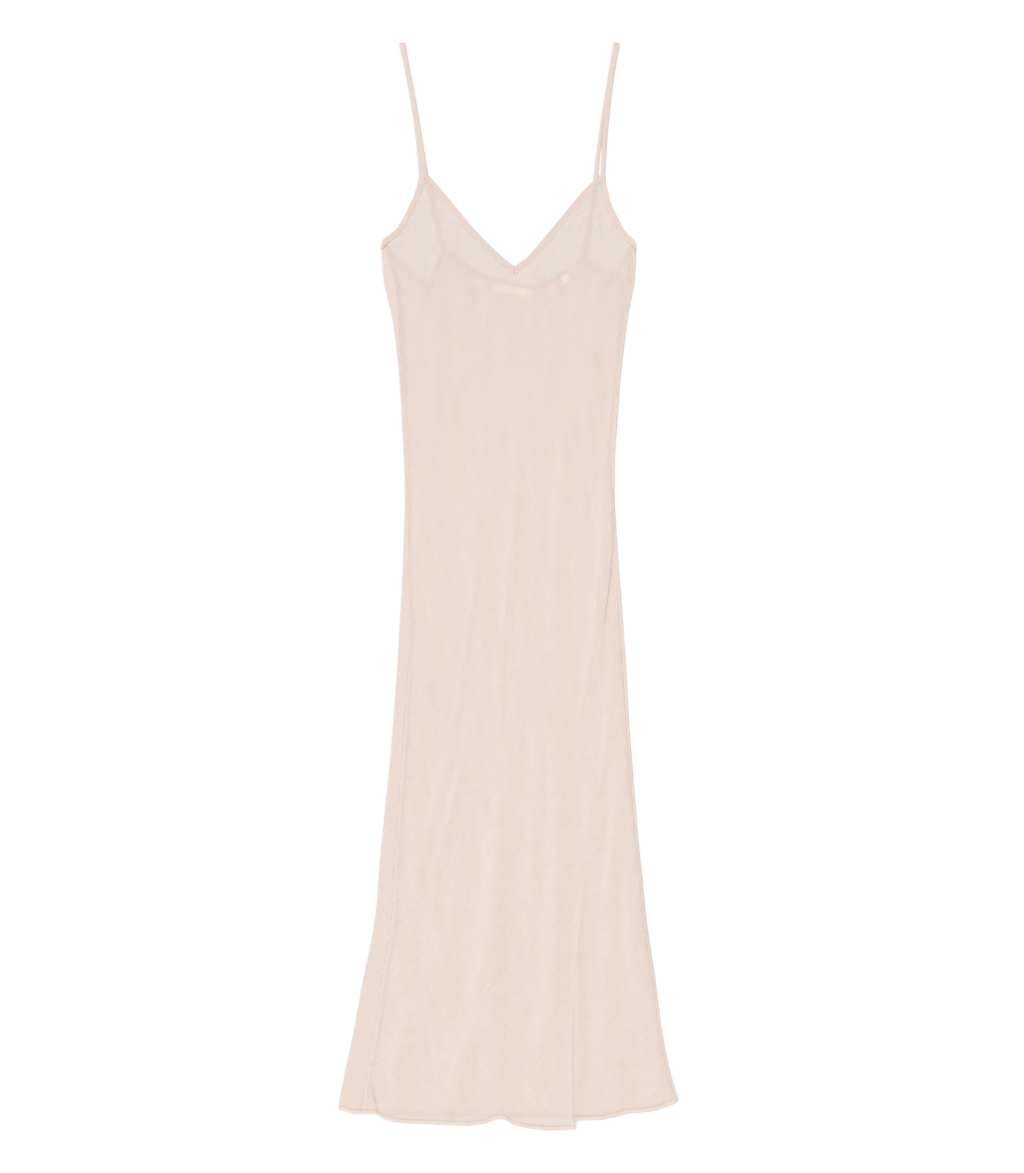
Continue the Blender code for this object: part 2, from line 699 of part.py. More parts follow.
def make_label(name, label):
    mesh = bmesh.new()
    bmesh.ops.create_cube(mesh, size=1.0)
    size = (label["length"] * MM, label["width"] * MM, LABEL_WALL * MM)
    bmesh.ops.scale(mesh, vec=size, verts=mesh.verts)
    thing = add_object(name, mesh, LABEL_COLOUR)
    thing.location = (label["x"] * MM, label["y"] * MM, LABEL_HEIGHT * MM)
    thing.rotation_euler = (0, 0, math.radians(label["turn"]))


clear_scene()
DRESS = make_collection("Slip dress")
cloth("back_panel", [back_rows()])
make_front()
make_neck_bindings()
make_front_armhole_bindings()
make_back_bindings()
make_hems()
make_ring("left", LEFT_RING)
make_ring("right", RIGHT_RING)
make_strap("left", STRAP_LEFT_FRONT, STRAP_LEFT_BACK)
make_strap("right", STRAP_RIGHT_FRONT, STRAP_RIGHT_BACK)
make_tab("left", LEFT_TAB)
make_tab("right", RIGHT_TAB)
make_label("neck_label", NECK_LABEL)
make_label("size_label", SIZE_LABEL)
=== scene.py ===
"""Looks of the slip dress laid flat: sheer crinkled silk, folds, bound edges, straps and labels.

Lengths are in millimetres; MM turns them into metres where a mesh is made.
X runs across the dress, Y from the hem towards the straps, Z up from the surface it lies on. The
front lies on top of the back, and left and right are as seen from above. Every edge is walked from
left to right, so that the cloth is on its right-hand side.
"""

import math

import bmesh
import bpy
import numpy as np
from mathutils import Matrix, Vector


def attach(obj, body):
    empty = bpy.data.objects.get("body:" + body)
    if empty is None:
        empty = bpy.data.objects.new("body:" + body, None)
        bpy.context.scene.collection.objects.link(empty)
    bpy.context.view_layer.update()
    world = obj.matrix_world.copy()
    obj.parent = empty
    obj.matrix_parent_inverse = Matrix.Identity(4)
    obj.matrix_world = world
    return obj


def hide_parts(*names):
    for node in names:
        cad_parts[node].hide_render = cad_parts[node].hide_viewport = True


MM = 0.001

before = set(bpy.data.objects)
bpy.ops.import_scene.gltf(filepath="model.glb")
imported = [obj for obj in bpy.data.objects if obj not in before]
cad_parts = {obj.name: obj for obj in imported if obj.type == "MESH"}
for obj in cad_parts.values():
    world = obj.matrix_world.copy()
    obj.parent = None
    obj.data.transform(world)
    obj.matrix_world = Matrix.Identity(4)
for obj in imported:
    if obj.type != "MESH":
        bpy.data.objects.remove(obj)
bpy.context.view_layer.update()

# ---------------------------------------------------------------- sizes

CLOTH_WALL = 0.2  # thickness of the thin shells
BINDING_WIDTH = 6.8
HEM_WIDTH = 4.5
STRAP_WIDTH = 6.5
TUCKED_UNDER = 1.6  # how far a panel's edge reaches under its binding
HEM_TUCKED_UNDER = 1.0
RING_RADIUS = 4.25
RING_WIRE_RADIUS = 0.7

# Heights of the middle of the cloth
BACK_LEVEL = 0.25
FRONT_LEVEL = 1.7
FLOOR_LEVEL = 0.2
STRAP_FRONT_LEVEL = 0.95
STRAP_BACK_LEVEL = 0.3
STRAP_THICKNESS = 0.5
BINDING_LEAST_LEVEL = 0.2
BACK_BINDING_LEVEL = 0.3
SINK_START = -15.0
SINK_LENGTH = 60.0
EDGE_SINK_REACH = 20.0  # the front also comes down to the surface towards its bound edges
EDGE_SINK_START = 2.0
EDGE_SINK_PAST = 12.0
WAVES_SUNK = 0.8  # share of the waves that goes where the front lies on the surface
OVER_CLEARANCE = 0.25
HEM_DROP = 0.5  # the front lies lower at its hem
HEM_DROP_START = 645.0
HEM_DROP_LENGTH = 35.0
LEAST_ON_BACK = 0.95
HIP_LENGTH = 300.0  # from the hip down, over which ridges get higher and the left allowance wider

LINE_SPACING = 2.0  # between the points of bound edges
LEAST_COSINE = 0.62  # of half a corner's turn, so that a mitre's tip stays short

UNDERARM = 439.6
LOWEST_ROW = -600.0  # first straight row above the curved hem
HIGHEST_BACK_ROW = 345.0
STRIP_TOP = 438.2  # top of the back where it wraps round to the front
LOBE_TOP = 526.5
UNDERARM_COVERED = 445.0  # below this the front reaches out to the line of its side seams


def table(columns, *rows):
    """One array for each named column."""
    return dict(zip(columns.split(), np.array(rows, float).T))


def hermite(keys, values, at):
    """Values at some keys, on a smooth curve through the known ones."""
    at = np.asarray(at, float)
    slopes = np.gradient(values, keys)
    i = np.clip(np.searchsorted(keys, at) - 1, 0, len(keys) - 2)
    step = keys[i + 1] - keys[i]
    t = np.clip((at - keys[i]) / step, 0, 1)
    ease = t * t * (3 - 2 * t)
    tangents = step * t * (1 - t) * ((1 - t) * slopes[i] - t * slopes[i + 1])
    return values[i] + (values[i + 1] - values[i]) * ease + tangents


def read(rows, column, y):
    """A column at heights y, on a smooth curve through the rows."""
    order = np.argsort(rows["y"])
    return hermite(rows["y"][order], rows[column][order], y)


def smoothstep(t):
    t = np.clip(t, 0, 1)
    return t * t * (3 - 2 * t)


def points(edge):
    """An edge table as rows of (x, y)."""
    return np.column_stack([edge["x"], edge["y"]])


def unit(vectors):
    """Rows of vectors, made 1 long."""
    return vectors / np.maximum(np.linalg.norm(vectors, axis=-1), 1e-9)[..., None]


def run_length(line):
    """How far along a line each of its points is."""
    return np.concatenate([[0], np.cumsum(np.linalg.norm(np.diff(line, axis=0), axis=1))])


def ahead_and_mitre(line):
    """Direction at each point of a line, and the cosine of half its turn there."""
    steps = unit(np.diff(line, axis=0))
    after = np.vstack([steps, steps[-1:]])
    ahead = unit(np.vstack([steps[:1], steps]) + after)
    return ahead, np.maximum((ahead * after).sum(axis=1), LEAST_COSINE)


def smooth_line(corners, spacing):
    """A smooth line through some points, with a point about every spacing."""
    corners = np.asarray(corners, float)
    length = run_length(corners)
    at = np.linspace(0, length[-1], max(2, int(round(length[-1] / spacing)) + 1))
    return np.column_stack([hermite(length, corners[:, k], at) for k in range(corners.shape[1])])


def inward(edge, distance):
    """Points beside an edge, on its right-hand side, mitred at its corners."""
    ahead, mitre = ahead_and_mitre(edge)
    return edge + (distance / mitre)[:, None] * np.column_stack([ahead[:, 1], -ahead[:, 0]])


# ---------------------------------------------------------------- outline, as in the solids

OUTLINE = table(
    "y     left   right  left_inset  right_inset",
    (440, -165.3, 165.8, 4.5, 4.0),
    (397, -162.0, 163.5, 13.0, 3.0),
    (345, -150.5, 154.0, 7.0, 2.6),
    (293, -143.8, 147.6, 2.8, 2.6),
    (215, -138.5, 141.0, 2.6, 2.6),
    (124, -134.8, 137.2, 2.8, 2.6),
    (33, -137.0, 142.4, 6.5, 4.2),
    (-71, -142.4, 150.2, 12.5, 4.2),
    (-201, -151.5, 158.0, 13.5, 2.8),
    (-357, -167.0, 171.0, 17.5, 2.6),
    (-435, -173.6, 178.8, 20.5, 2.6),
    (-513, -189.0, 190.5, 23.5, 2.6),
    (-591, -203.5, 201.0, 26.5, 2.6),
    (-643, -214.6, 212.6, 28.0, 2.6),
    (-669, -219.6, 220.8, 28.4, 2.6),
    (-690, -222.0, 222.6, 28.6, 2.6),
)
FRONT_HEM_LEFT = table(
    "y      x",
    (-686.3, -202.2), (-686.3, -172.2), (-692.8, -161.8), (-695.8, -152.8), (-698.4, -133.2),
    (-699.7, -102.0), (-701.7, -52.6), (-699.1, -31.9), (-694.1, -18.9), (-692.4, -11.1),
    (-693.0, -5.1), (-700.4, 5.9), (-705.3, 27.3), (-707.5, 47.5), (-706.2, 85.2),
)
FRONT_HEM_RIGHT = table(
    "y      x",
    (-693.9, 86.5), (-694.5, 107.2), (-693.9, 123.5), (-689.8, 138.5), (-685.9, 154.1),
    (-684.5, 173.6), (-681.3, 193.8), (-673.7, 213.8), (-669.3, 221.0),
)
BACK_HEM = table(
    "y      x",
    (-680.9, -221.7), (-686.3, -202.2), (-686.3, -172.2), (-690.6, -102.0), (-689.5, -11.1),
    (-692.9, 86.5), (-693.4, 107.2), (-692.8, 123.5), (-688.7, 138.5), (-684.9, 154.1),
    (-683.4, 173.6), (-680.2, 193.8), (-669.3, 221.0),
)

# Upright folds of the front. Their left side is the higher one, and laps over the other where
# the overlap is above 0.
PLEAT = table(
    "y     x      rise  overlap",
    (420, 80.0, 0.0, -4.0),
    (150, 95.0, 0.0, -8.0),
    (-278, 99.5, 0.0, -14.0),
    (-360, 98.0, 0.2, -10.0),
    (-430, 93.0, 0.4, -5.0),
    (-497, 86.6, 0.8, -1.8),
    (-549, 84.2, 1.0, -1.0),
    (-618, 83.0, 1.0, -0.8),
    (-710, 84.9, 1.1, -0.5),
)
TUCK = table(
    "y     x      rise  overlap",
    (420, 150.0, 0.0, -4.0),
    (345, 140.0, 0.0, -4.0),
    (215, 128.5, 0.0, -4.0),
    (140, 130.0, 0.2, -3.5),
    (92, 135.5, 0.6, -2.0),
    (48, 134.5, 1.1, 0.0),
    (13, 131.8, 1.2, 1.0),
    (-43, 124.6, 0.9, 0.0),
    (-71, 120.4, 0.5, -2.0),
    (-122, 117.5, 0.2, -6.0),
    (-200, 118.0, 0.0, -8.0),
    (-400, 137.0, 0.0, -8.0),
    (-710, 188.0, 0.0, -8.0),
)
FOLD_REACH = 60.0

ARMHOLE_LEFT = table(
    "y      x",
    (436.8, -164.7), (440.9, -165.2), (449.5, -163.0), (457.3, -153.2), (465.1, -145.0),
    (480.7, -135.8),
    (496.3, -128.1), (511.9, -121.5), (523.0, -118.4), (532.0, -116.6),
)
NECK_LEFT = table(
    "y      x",
    (533.4, -104.3), (519.7, -91.7), (504.1, -78.7), (488.5, -65.7), (472.9, -52.6),
    (457.3, -38.6), (441.7, -23.6), (426.1, -6.3), (418.0, 3.4), (415.8, 6.0), (415.4, 7.55),
)
NECK_RIGHT = table(
    "y      x",
    (415.4, 7.55), (415.9, 10.0), (419.2, 14.2), (425.8, 22.5), (441.7, 37.2), (457.3, 50.4),
    (472.9, 63.3), (488.5, 76.0), (504.1, 89.0), (519.7, 103.4), (531.5, 116.8), (535.0, 121.0),
)
ARMHOLE_RIGHT = table(
    "y      x",
    (532.0, 125.9), (519.3, 127.3), (511.9, 129.3), (496.3, 133.4), (480.7, 140.9),
    (465.1, 148.9), (457.3, 154.4), (449.5, 162.6), (441.3, 165.5), (436.8, 165.0),
)
NECK_POINT_X = 7.55
NECK_POINT_Y = 403.4  # top of the panel's middle
NECK_SEAM_Y = 404.2  # lowest point of the binding's inner edge
NECK_POINT_ROUND = 13.5  # the inner edge runs straight to its point this near to the middle

BACK_ARMHOLE_LEFT = table(
    "y      x",
    (439.6, -163.3), (429.5, -148.0), (418.1, -134.6), (404.8, -119.7), (391.2, -104.3),
    (407.0, -98.8), (422.4, -93.5),
)
BACK_NECK = table(
    "y      x",
    (424.9, -92.6), (431.6, -87.6), (434.7, -79.7), (427.6, -68.8), (419.2, -56.8),
    (410.7, -43.4), (402.3, -25.1), (395.5, -3.9), (391.6, 17.0), (391.0, 29.6),
    (392.4, 40.2), (399.4, 54.2), (407.2, 67.0), (416.3, 83.2), (422.4, 91.5), (427.2, 93.4),
)
BACK_ARMHOLE_RIGHT = table(
    "y      x",
    (423.6, 101.6), (414.7, 116.4), (405.8, 131.2), (416.6, 140.4), (427.5, 149.5),
    (439.6, 163.7),
)
LEFT_NOTCH = 4  # row of the corner in the left back armhole
RIGHT_NOTCH = 2

# Tops of what lies between the front and the surface: the straps, and a round rise over each ring
UNDER_FRONT = table(
    "y      left    left_top  right   right_top",
    (560, -113.0, 0.55, 117.0, 0.55),
    (519, -105.2, 0.55, 112.2, 0.55),
    (491, -99.1, 0.55, 107.4, 0.55),
    (469, -92.7, 0.65, 104.0, 0.65),
    (458, -90.0, 0.85, 102.3, 0.9),
    (449, -86.5, 1.0, 100.8, 1.1),
    (438, -85.0, 0.9, 99.2, 1.1),
    (430, -83.0, 0.6, 98.7, 0.9),
    (420, -81.0, 0.5, 98.0, 0.6),
)
TENT_WIDTH = 5.0
TENT_SPREAD = 2.2
RING_RISE_FLAT = 5.8
RING_RISE_SLOPE = 26.0

STRAP_LEFT_FRONT = table(
    "y      x      width",
    (522.0, -110.2, 8.6),
    (532.4, -111.2, 9.6),
    (545.0, -111.9, 9.8),
    (553.5, -112.5, 9.6),
    (566.5, -114.5, 8.9),
    (579.5, -116.2, 8.1),
    (605.5, -119.8, 7.1),
    (644.5, -126.6, 6.7),
    (683.5, -134.0, 6.3),
    (705.6, -138.7, 6.8),
)
STRAP_LEFT_BACK = table(
    "y      x      width",
    (705.6, -138.7, 6.8),
    (683.5, -134.0, 6.3),
    (644.5, -126.4, 6.5),
    (605.5, -119.6, 6.5),
    (566.5, -113.4, 6.2),
    (543.0, -108.9, 6.0),
    (519.0, -104.6, 5.8),
    (507.7, -101.8, 5.6),
    (491.0, -98.6, 5.2),
    (468.6, -92.7, 4.8),
    (456.0, -89.0, 4.6),
)
STRAP_RIGHT_FRONT = table(
    "y      x      width",
    (522.0, 121.4, 5.4),
    (532.4, 122.8, 5.2),
    (545.0, 123.2, 5.2),
    (558.7, 124.0, 5.4),
    (582.1, 125.0, 6.0),
    (605.5, 127.0, 6.5),
    (644.5, 131.2, 6.5),
    (683.5, 137.0, 6.5),
    (705.6, 140.6, 7.2),
)
STRAP_RIGHT_BACK = table(
    "y      x      width",
    (705.6, 140.6, 7.2),
    (683.5, 136.0, 6.5),
    (644.5, 129.4, 6.3),
    (605.5, 123.0, 6.0),
    (582.1, 119.6, 5.6),
    (558.7, 116.2, 5.2),
    (543.1, 114.6, 5.4),
    (517.9, 111.8, 5.8),
    (497.6, 108.4, 4.6),
    (479.8, 105.7, 5.4),
    (462.8, 103.0, 5.0),
    (443.2, 100.2, 4.6),
)
STRAP_RISE_Y = (524, 540)  # where its front end comes up from the cloth
STRAP_RISE_LEVEL = 0.3
STRAP_SPACING = 2.5
STRAP_FOLD_REACH = 3.0
STRAP_UNDER_FRONT = 70.0  # how much of the strap's end lies under the front
HIGHEST_UNDER_FRONT = 521.0

LEFT_RING = (-86.5, 449.4)
RIGHT_RING = (99.4, 437.9)
LEFT_TAB = table("y      x", (435.3, -83.4), (444.1, -85.2))
RIGHT_TAB = table("y      x", (426.4, 98.4), (429.5, 98.7), (432.6, 99.0))
TAB_WIDTH = 5.4

NECK_LABEL = dict(x=4.2, y=384.0, length=54.6, width=12.4, turn=-10.3)
SIZE_LABEL = dict(x=74.5, y=398.6, length=11.6, width=11.2, turn=35.5)
LABEL_HEIGHT = 0.85
LABEL_WAVE = 0.05
LABEL_WALL = 0.25
LABEL_SPACING = 1.5
LABEL_STITCHES = (1.6, 0.4, 0.8)  # two rows' middle from the end, half their gap, space at sides

# ---------------------------------------------------------------- folds of the cloth

# Soft ridges (height above 0) and troughs of the front. Each runs through three points, and its
# left and right sides have their own reach.
FOLDS = table(
    "x0   y0   xm   ym   x1   y1   left right height",
    (-31, 248, -41, 111, -65, -77, 5.0, 11.7, 0.52),
    (-33, 150, -46, -6, -76, -214, 5.5, 6.5, 0.85),
    (15, 189, 7, 72, -4, -84, 8.8, 6.5, 0.99),
    (33, 137, 36, 33, 40, -149, 6.6, 9.1, 0.56),
    (71, 209, 64, 59, 55, -175, 8.8, 13.0, 1.05),
    (139, 280, 129, 189, 121, 85, 5.0, 6.5, 0.59),
    (123, 137, 115, -19, 88, -207, 5.5, 7.8, 0.85),
    (135, 150, 129, 59, 118, -51, 4.4, 3.9, 0.46),
    (135, -123, 129, -175, 120, -266, 5.5, 9.1, 0.58),
    (146, -201, 138, -298, 121, -487, 6.6, 11.7, 0.83),
    (116, -175, 108, -266, 104, -383, 9.9, 11.7, 0.62),
    (-97, 33, -98, -45, -109, -175, 10.4, 5.5, 0.39),
    (-113, -71, -117, -175, -133, -305, 15.6, 6.6, 0.37),
    (-33, 33, -32, -45, -37, -149, 11.7, 7.7, 0.49),
    (16, 137, 17, 33, 21, -84, 10.4, 6.6, 0.46),
    (-60, -220, -74, -285, -99, -383, 5.0, 7.8, 0.76),
    (-74, -188, -87, -246, -105, -318, 6.6, 7.8, 0.46),
    (-95, -266, -110, -344, -136, -435, 6.6, 10.4, 0.37),
    (-4, -201, -20, -370, -51, -617, 9.9, 16.9, 1.53),
    (-16, -344, -20, -487, -13, -692, 18.2, 13.3, 1.30),
    (38, -136, 35, -331, 24, -565, 8.8, 11.7, 0.74),
    (59, -149, 61, -383, 34, -675, 12.2, 15.6, 1.44),
    (67, -357, 64, -474, 56, -604, 15.6, 7.7, 0.70),
    (153, -357, 159, -448, 164, -539, 6.6, 11.7, 0.74),
    (165, -357, 171, -448, 180, -539, 18.2, 8.8, 0.86),
    (148, -565, 144, -630, 140, -692, 15.6, 8.8, 1.11),
    (198, -565, 194, -617, 186, -682, 6.6, 11.7, 0.65),
    (132, -448, 124, -552, 114, -669, 11.1, 18.2, 0.93),
    (-58, -409, -84, -487, -110, -565, 20.8, 11.1, 0.54),
    (-50, -565, -65, -630, -78, -692, 15.5, 18.2, 1.30),
    (-120, -539, -137, -591, -145, -643, 20.8, 13.3, 0.65),
    (-135, -578, -145, -617, -153, -662, 8.8, 15.6, 0.74),
    (-173, -409, -181, -487, -199, -617, 6.6, 13.0, 0.46),
    (-85, 371, -95, 241, -113, 137, 18.2, 12.2, 0.85),
    (102, 384, 109, 313, 99, 202, 15.6, 9.9, 0.62),
    (156, 417, 158, 371, 152, 306, 4.4, 5.2, 0.43),
    (144, 397, 147, 352, 140, 280, 4.4, 6.5, 0.31),
    (-145, 417, -143, 371, -136, 313, 3.3, 3.9, 0.32),
    (-109, 392, -114, 371, -123, 332, 9.1, 5.5, 0.62),
    (127, 405, 117, 382, 101, 348, 10.4, 6.6, 0.83),
    (99, 425, 80, 397, 50, 364, 3.3, 3.9, 0.35),
    (106, 420, 85, 387, 54, 348, 3.3, 3.9, 0.25),
    (85, 413, 64, 387, 34, 358, 3.3, 3.9, 0.23),
    (-43, 408, -22, 374, 7, 332, 3.3, 3.9, 0.21),
    (125, 507, 118, 490, 105, 466, 2.6, 3.6, 0.55),
    (136, 484, 130, 466, 119, 444, 2.6, 4.0, 0.55),
    (102, 496, 91, 470, 76, 442, 3.2, 4.6, 0.5),
    (146, 470, 140, 456, 131, 440, 2.6, 4.0, 0.4),
    (118, 478, 112, 462, 103, 445, 2.4, 3.4, 0.4),
    (-68, 486, -44, 452, -16, 416, 11.7, 6.6, 0.46),
    (95, -380, 86, -560, 87, -790, 2.0, 7.5, 1.9),
)

# The long crease down the middle of the front, which one column of the front's mesh follows
CREASE = table(
    "y     x      depth",
    (403, 7.55, 0.0),
    (163, 7.2, 0.0),
    (76, 2.5, 0.05),
    (30, -1.0, 0.10),
    (-28, -3.2, 0.30),
    (-110, -6.6, 0.35),
    (-191, -9.8, 0.28),
    (-255, -22.0, 0.0),
    (-307, -34.5, 0.0),
    (-400, -36.0, 0.0),
    (-550, -25.0, 0.0),
    (-700, -18.9, 0.0),
)
CREASE_SIDE = 1.3  # reach of the crease on its steep side
CREASE_BACK = 6.0  # and on its soft side

# A slit-like crease near the hem's left end, offset from the left seam; its right side is higher
SLIT = table(
    "y     offset  rise  overlap",
    (440, 14, 0.0, -4.0),
    (-560, 12, 0.0, -4.0),
    (-625, 9, 0.0, -3.0),
    (-642, 11, 0.2, -2.0),
    (-664, 16, 0.6, -0.8),
    (-684, 23, 0.8, -0.6),
    (-700, 27, 0.8, -0.6),
)
SLIT_REACH = 38.0

# Small dents and bumps: centre, reach across and along, turn of the long side, height
DENTS = table(
    "x      y      across along turn  height",
    (116.4, -132, 3.5, 4.5, 0, -0.5),
    (-105, -693, 5, 15, 78, -0.5),
    (-82, -694, 4, 10, 65, 0.6),
    (-64, -697, 4, 12, 80, -0.4),
    (-36, -692, 4, 12, 70, -0.45),
    (0, -692, 4, 13, -50, -0.6),
    (140, -682, 5, 14, 75, -0.5),
    (-173, -623, 2.0, 9, -52, -0.4),
    (-188, -668, 5, 20, 0, -0.3),
    (-140, -672, 8, 22, -35, 0.4),
    (60, -640, 5, 18, -20, -0.3),
)

BACK_TOP = np.vstack([points(BACK_ARMHOLE_LEFT), points(BACK_NECK), points(BACK_ARMHOLE_RIGHT)])
LOWER_FOLDS = 1.1  # how much higher the ridges are towards the hem
FOLD_TAPER = 0.8  # how fast a ridge sinks towards its ends


def folds_height(x, y):
    """Height that the soft ridges and troughs add."""
    total = np.zeros(np.broadcast(x, y).shape)
    for x0, y0, xm, ym, x1, y1, left, right, height in zip(*FOLDS.values()):
        along = (y - y0) / (y1 - y0)
        inside = (along > 0) & (along < 1)
        middle = (ym - y0) / (y1 - y0)
        start = (along - middle) * (along - 1) / middle
        centre = along * (along - 1) / (middle * (middle - 1))
        end = along * (along - middle) / (1 - middle)
        crest = start * x0 + centre * xm + end * x1
        across = (x - crest) / np.where(x < crest, left, right)
        taper = np.sin(np.pi * np.clip(along, 0, 1)) ** FOLD_TAPER
        total += np.where(inside, height * taper * np.exp(-across**2), 0)
    return total * (1 + LOWER_FOLDS * smoothstep(-y / HIP_LENGTH))


def dents_height(x, y):
    total = np.zeros(np.broadcast(x, y).shape)
    for cx, cy, across, along, turn, height in zip(*DENTS.values()):
        c, s = math.cos(math.radians(turn)), math.sin(math.radians(turn))
        u = ((x - cx) * c + (y - cy) * s) / across
        v = (-(x - cx) * s + (y - cy) * c) / along
        total += height * np.exp(-(u**2) - v**2)
    return total


WAVES = table(
    "x_turns  y_turns  phase  height",
    (0.021, 0.004, 0.3, 0.16),
    (0.034, -0.003, 1.9, 0.12),
    (0.052, 0.006, 4.1, 0.09),
    (0.013, 0.009, 2.6, 0.20),
    (0.041, 0.015, 5.2, 0.07),
    (0.027, -0.012, 0.8, 0.08),
)  # turns for each millimetre


def waves_height(x, y):
    """Slight unevenness all over."""
    total = 0
    for x_turns, y_turns, phase, height in zip(*WAVES.values()):
        total = total + height * np.sin(2 * np.pi * (x_turns * x + y_turns * y) + phase)
    return total


def crease_height(x, y):
    """The long crease: a soft rise on its left that ends in a short steep fall."""
    depth = read(CREASE, "depth", y)
    across = x - read(CREASE, "x", y)
    left = np.exp(-((across / CREASE_BACK) ** 2))
    right = np.exp(-((np.maximum(across, 0) / CREASE_SIDE) ** 2))
    return depth * np.where(across < 0, left, right)


BOUND_EDGES = [
    inward(smooth_line(points(edge), 4.0), BINDING_WIDTH)
    for edge in (ARMHOLE_LEFT, NECK_LEFT, NECK_RIGHT, ARMHOLE_RIGHT)
]


def near_bound_edge(x, y):
    """1 at the inner edges of the front's bindings, down to 0 well inside them."""
    x, y = np.broadcast_arrays(x, y)
    distance = np.full(x.shape, 1e3)
    for edge in BOUND_EDGES:
        for edge_x, edge_y in edge:
            distance = np.minimum(distance, np.hypot(x - edge_x, y - edge_y))
    return smoothstep(1 - (distance - EDGE_SINK_START) / EDGE_SINK_REACH)


def front_height(x, y):
    """Middle of the front cloth: on the back, then down to the surface past the back's edge."""
    x, y = np.asarray(x, float), np.asarray(y, float)
    past = y - np.interp(x, BACK_TOP[:, 0], BACK_TOP[:, 1])
    sink = smoothstep((past - SINK_START) / SINK_LENGTH)
    if np.max(y) > NECK_POINT_Y - EDGE_SINK_REACH:
        beyond = smoothstep((past - EDGE_SINK_START) / EDGE_SINK_PAST)
        sink = np.maximum(sink, near_bound_edge(x, y) * beyond)
    height = FRONT_LEVEL + (FLOOR_LEVEL - FRONT_LEVEL) * sink
    height = height + folds_height(x, y) + dents_height(x, y)
    height = height + (1 - WAVES_SUNK * sink) * waves_height(x, y)
    height = height - HEM_DROP * smoothstep((-y - HEM_DROP_START) / HEM_DROP_LENGTH)
    height = np.maximum(height, LEAST_ON_BACK * (1 - sink))
    for side in ("left", "right"):
        top = read(UNDER_FRONT, side + "_top", y) + OVER_CLEARANCE
        distance = np.abs(x - read(UNDER_FRONT, side, y))
        bell = np.exp(-((distance / (TENT_WIDTH + TENT_SPREAD * top)) ** 2))
        tent = FLOOR_LEVEL + (top - FLOOR_LEVEL) * bell
        height = np.where(y > UNDER_FRONT["y"].min(), np.maximum(height, tent), height)
    top = 2 * RING_WIRE_RADIUS + OVER_CLEARANCE
    for ring_x, ring_y in (LEFT_RING, RIGHT_RING):
        away = (np.hypot(x - ring_x, y - ring_y) - RING_RISE_FLAT) / RING_RISE_SLOPE
        height = np.maximum(height, FLOOR_LEVEL + (top - FLOOR_LEVEL) * (1 - smoothstep(away)))
    return height


# ---------------------------------------------------------------- points of the front

LAP_POINTS = 13  # across an upright fold
LAP_TURN_POINTS = 5  # on each of its two rounded folds
FULL_LAP = 2.0  # overlap from which a fold laps over, and less than minus which it is a soft step


def lap(x, rise, overlap):
    """(x, rise) arrays across an upright fold, from its raised left side to its right."""
    x, rise, overlap = (value[:, None] for value in (x, rise, overlap))
    lapped = smoothstep((overlap + FULL_LAP) / (2 * FULL_LAP))
    share = np.linspace(0, 1, LAP_POINTS)
    radius = rise / 4
    angle = np.linspace(math.pi / 2, -math.pi / 2, LAP_TURN_POINTS)
    flat = LAP_POINTS - 2 * LAP_TURN_POINTS - 2
    start, end = np.zeros(LAP_TURN_POINTS + 1), np.ones(LAP_TURN_POINTS + 1)
    run = np.concatenate([start, np.linspace(0, 1, flat + 2)[1:-1], end])
    outward = np.concatenate([[-2.0], np.cos(angle), np.zeros(flat), -np.cos(angle), [2.0]])
    level = np.concatenate([[2.0], 1 + np.sin(angle), np.zeros(flat), -1 + np.sin(angle), [-2.0]])
    folded_x = x - overlap * run + radius * outward
    folded_rise = rise * (level + 2) / 4
    soft_x = x - overlap * share
    soft_rise = rise * (1 - smoothstep(share))
    return soft_x + (folded_x - soft_x) * lapped, soft_rise + (folded_rise - soft_rise) * lapped


def fold_lap(fold, y):
    """The pleat's or the tuck's lap."""
    return lap(*(read(fold, column, y) for column in ("x", "rise", "overlap")))


def slit_lap(y):
    """The slit's lap, which is the other way round: its right side is the raised one."""
    centre = seam_x("left", y) + read(SLIT, "offset", y)
    x, rise = lap(-centre, read(SLIT, "rise", y), read(SLIT, "overlap", y))
    return -x[:, ::-1], rise[:, ::-1]


def raised_by(fold, x, y):
    """Height of one upright fold's raised left side at x."""
    lap_x, lap_rise = fold_lap(fold, np.atleast_1d(y))
    start, rise = lap_x[:, 0], lap_rise[:, 0]
    return np.where(x < start, rise * smoothstep(1 - (start - x) / FOLD_REACH), 0.0)


def seam_x(side, y):
    """X of a side seam."""
    sign = 1 if side == "left" else -1
    return read(OUTLINE, side, y) + sign * read(OUTLINE, side + "_inset", y)


def between(start, end, count):
    """Columns from start to end, without them, for every row."""
    share = np.arange(1, count + 1) / (count + 1)
    return start[:, None] + (end - start)[:, None] * share


FINE_AT_CREASE = np.array([-5.0, -3.4, -2.2, -1.2, -0.5, 0, 0.5, 1.2, 2.2, 3.8])
COLUMN_COUNTS = dict(strip=3, middle=44, right=28, side=12, edge=8)


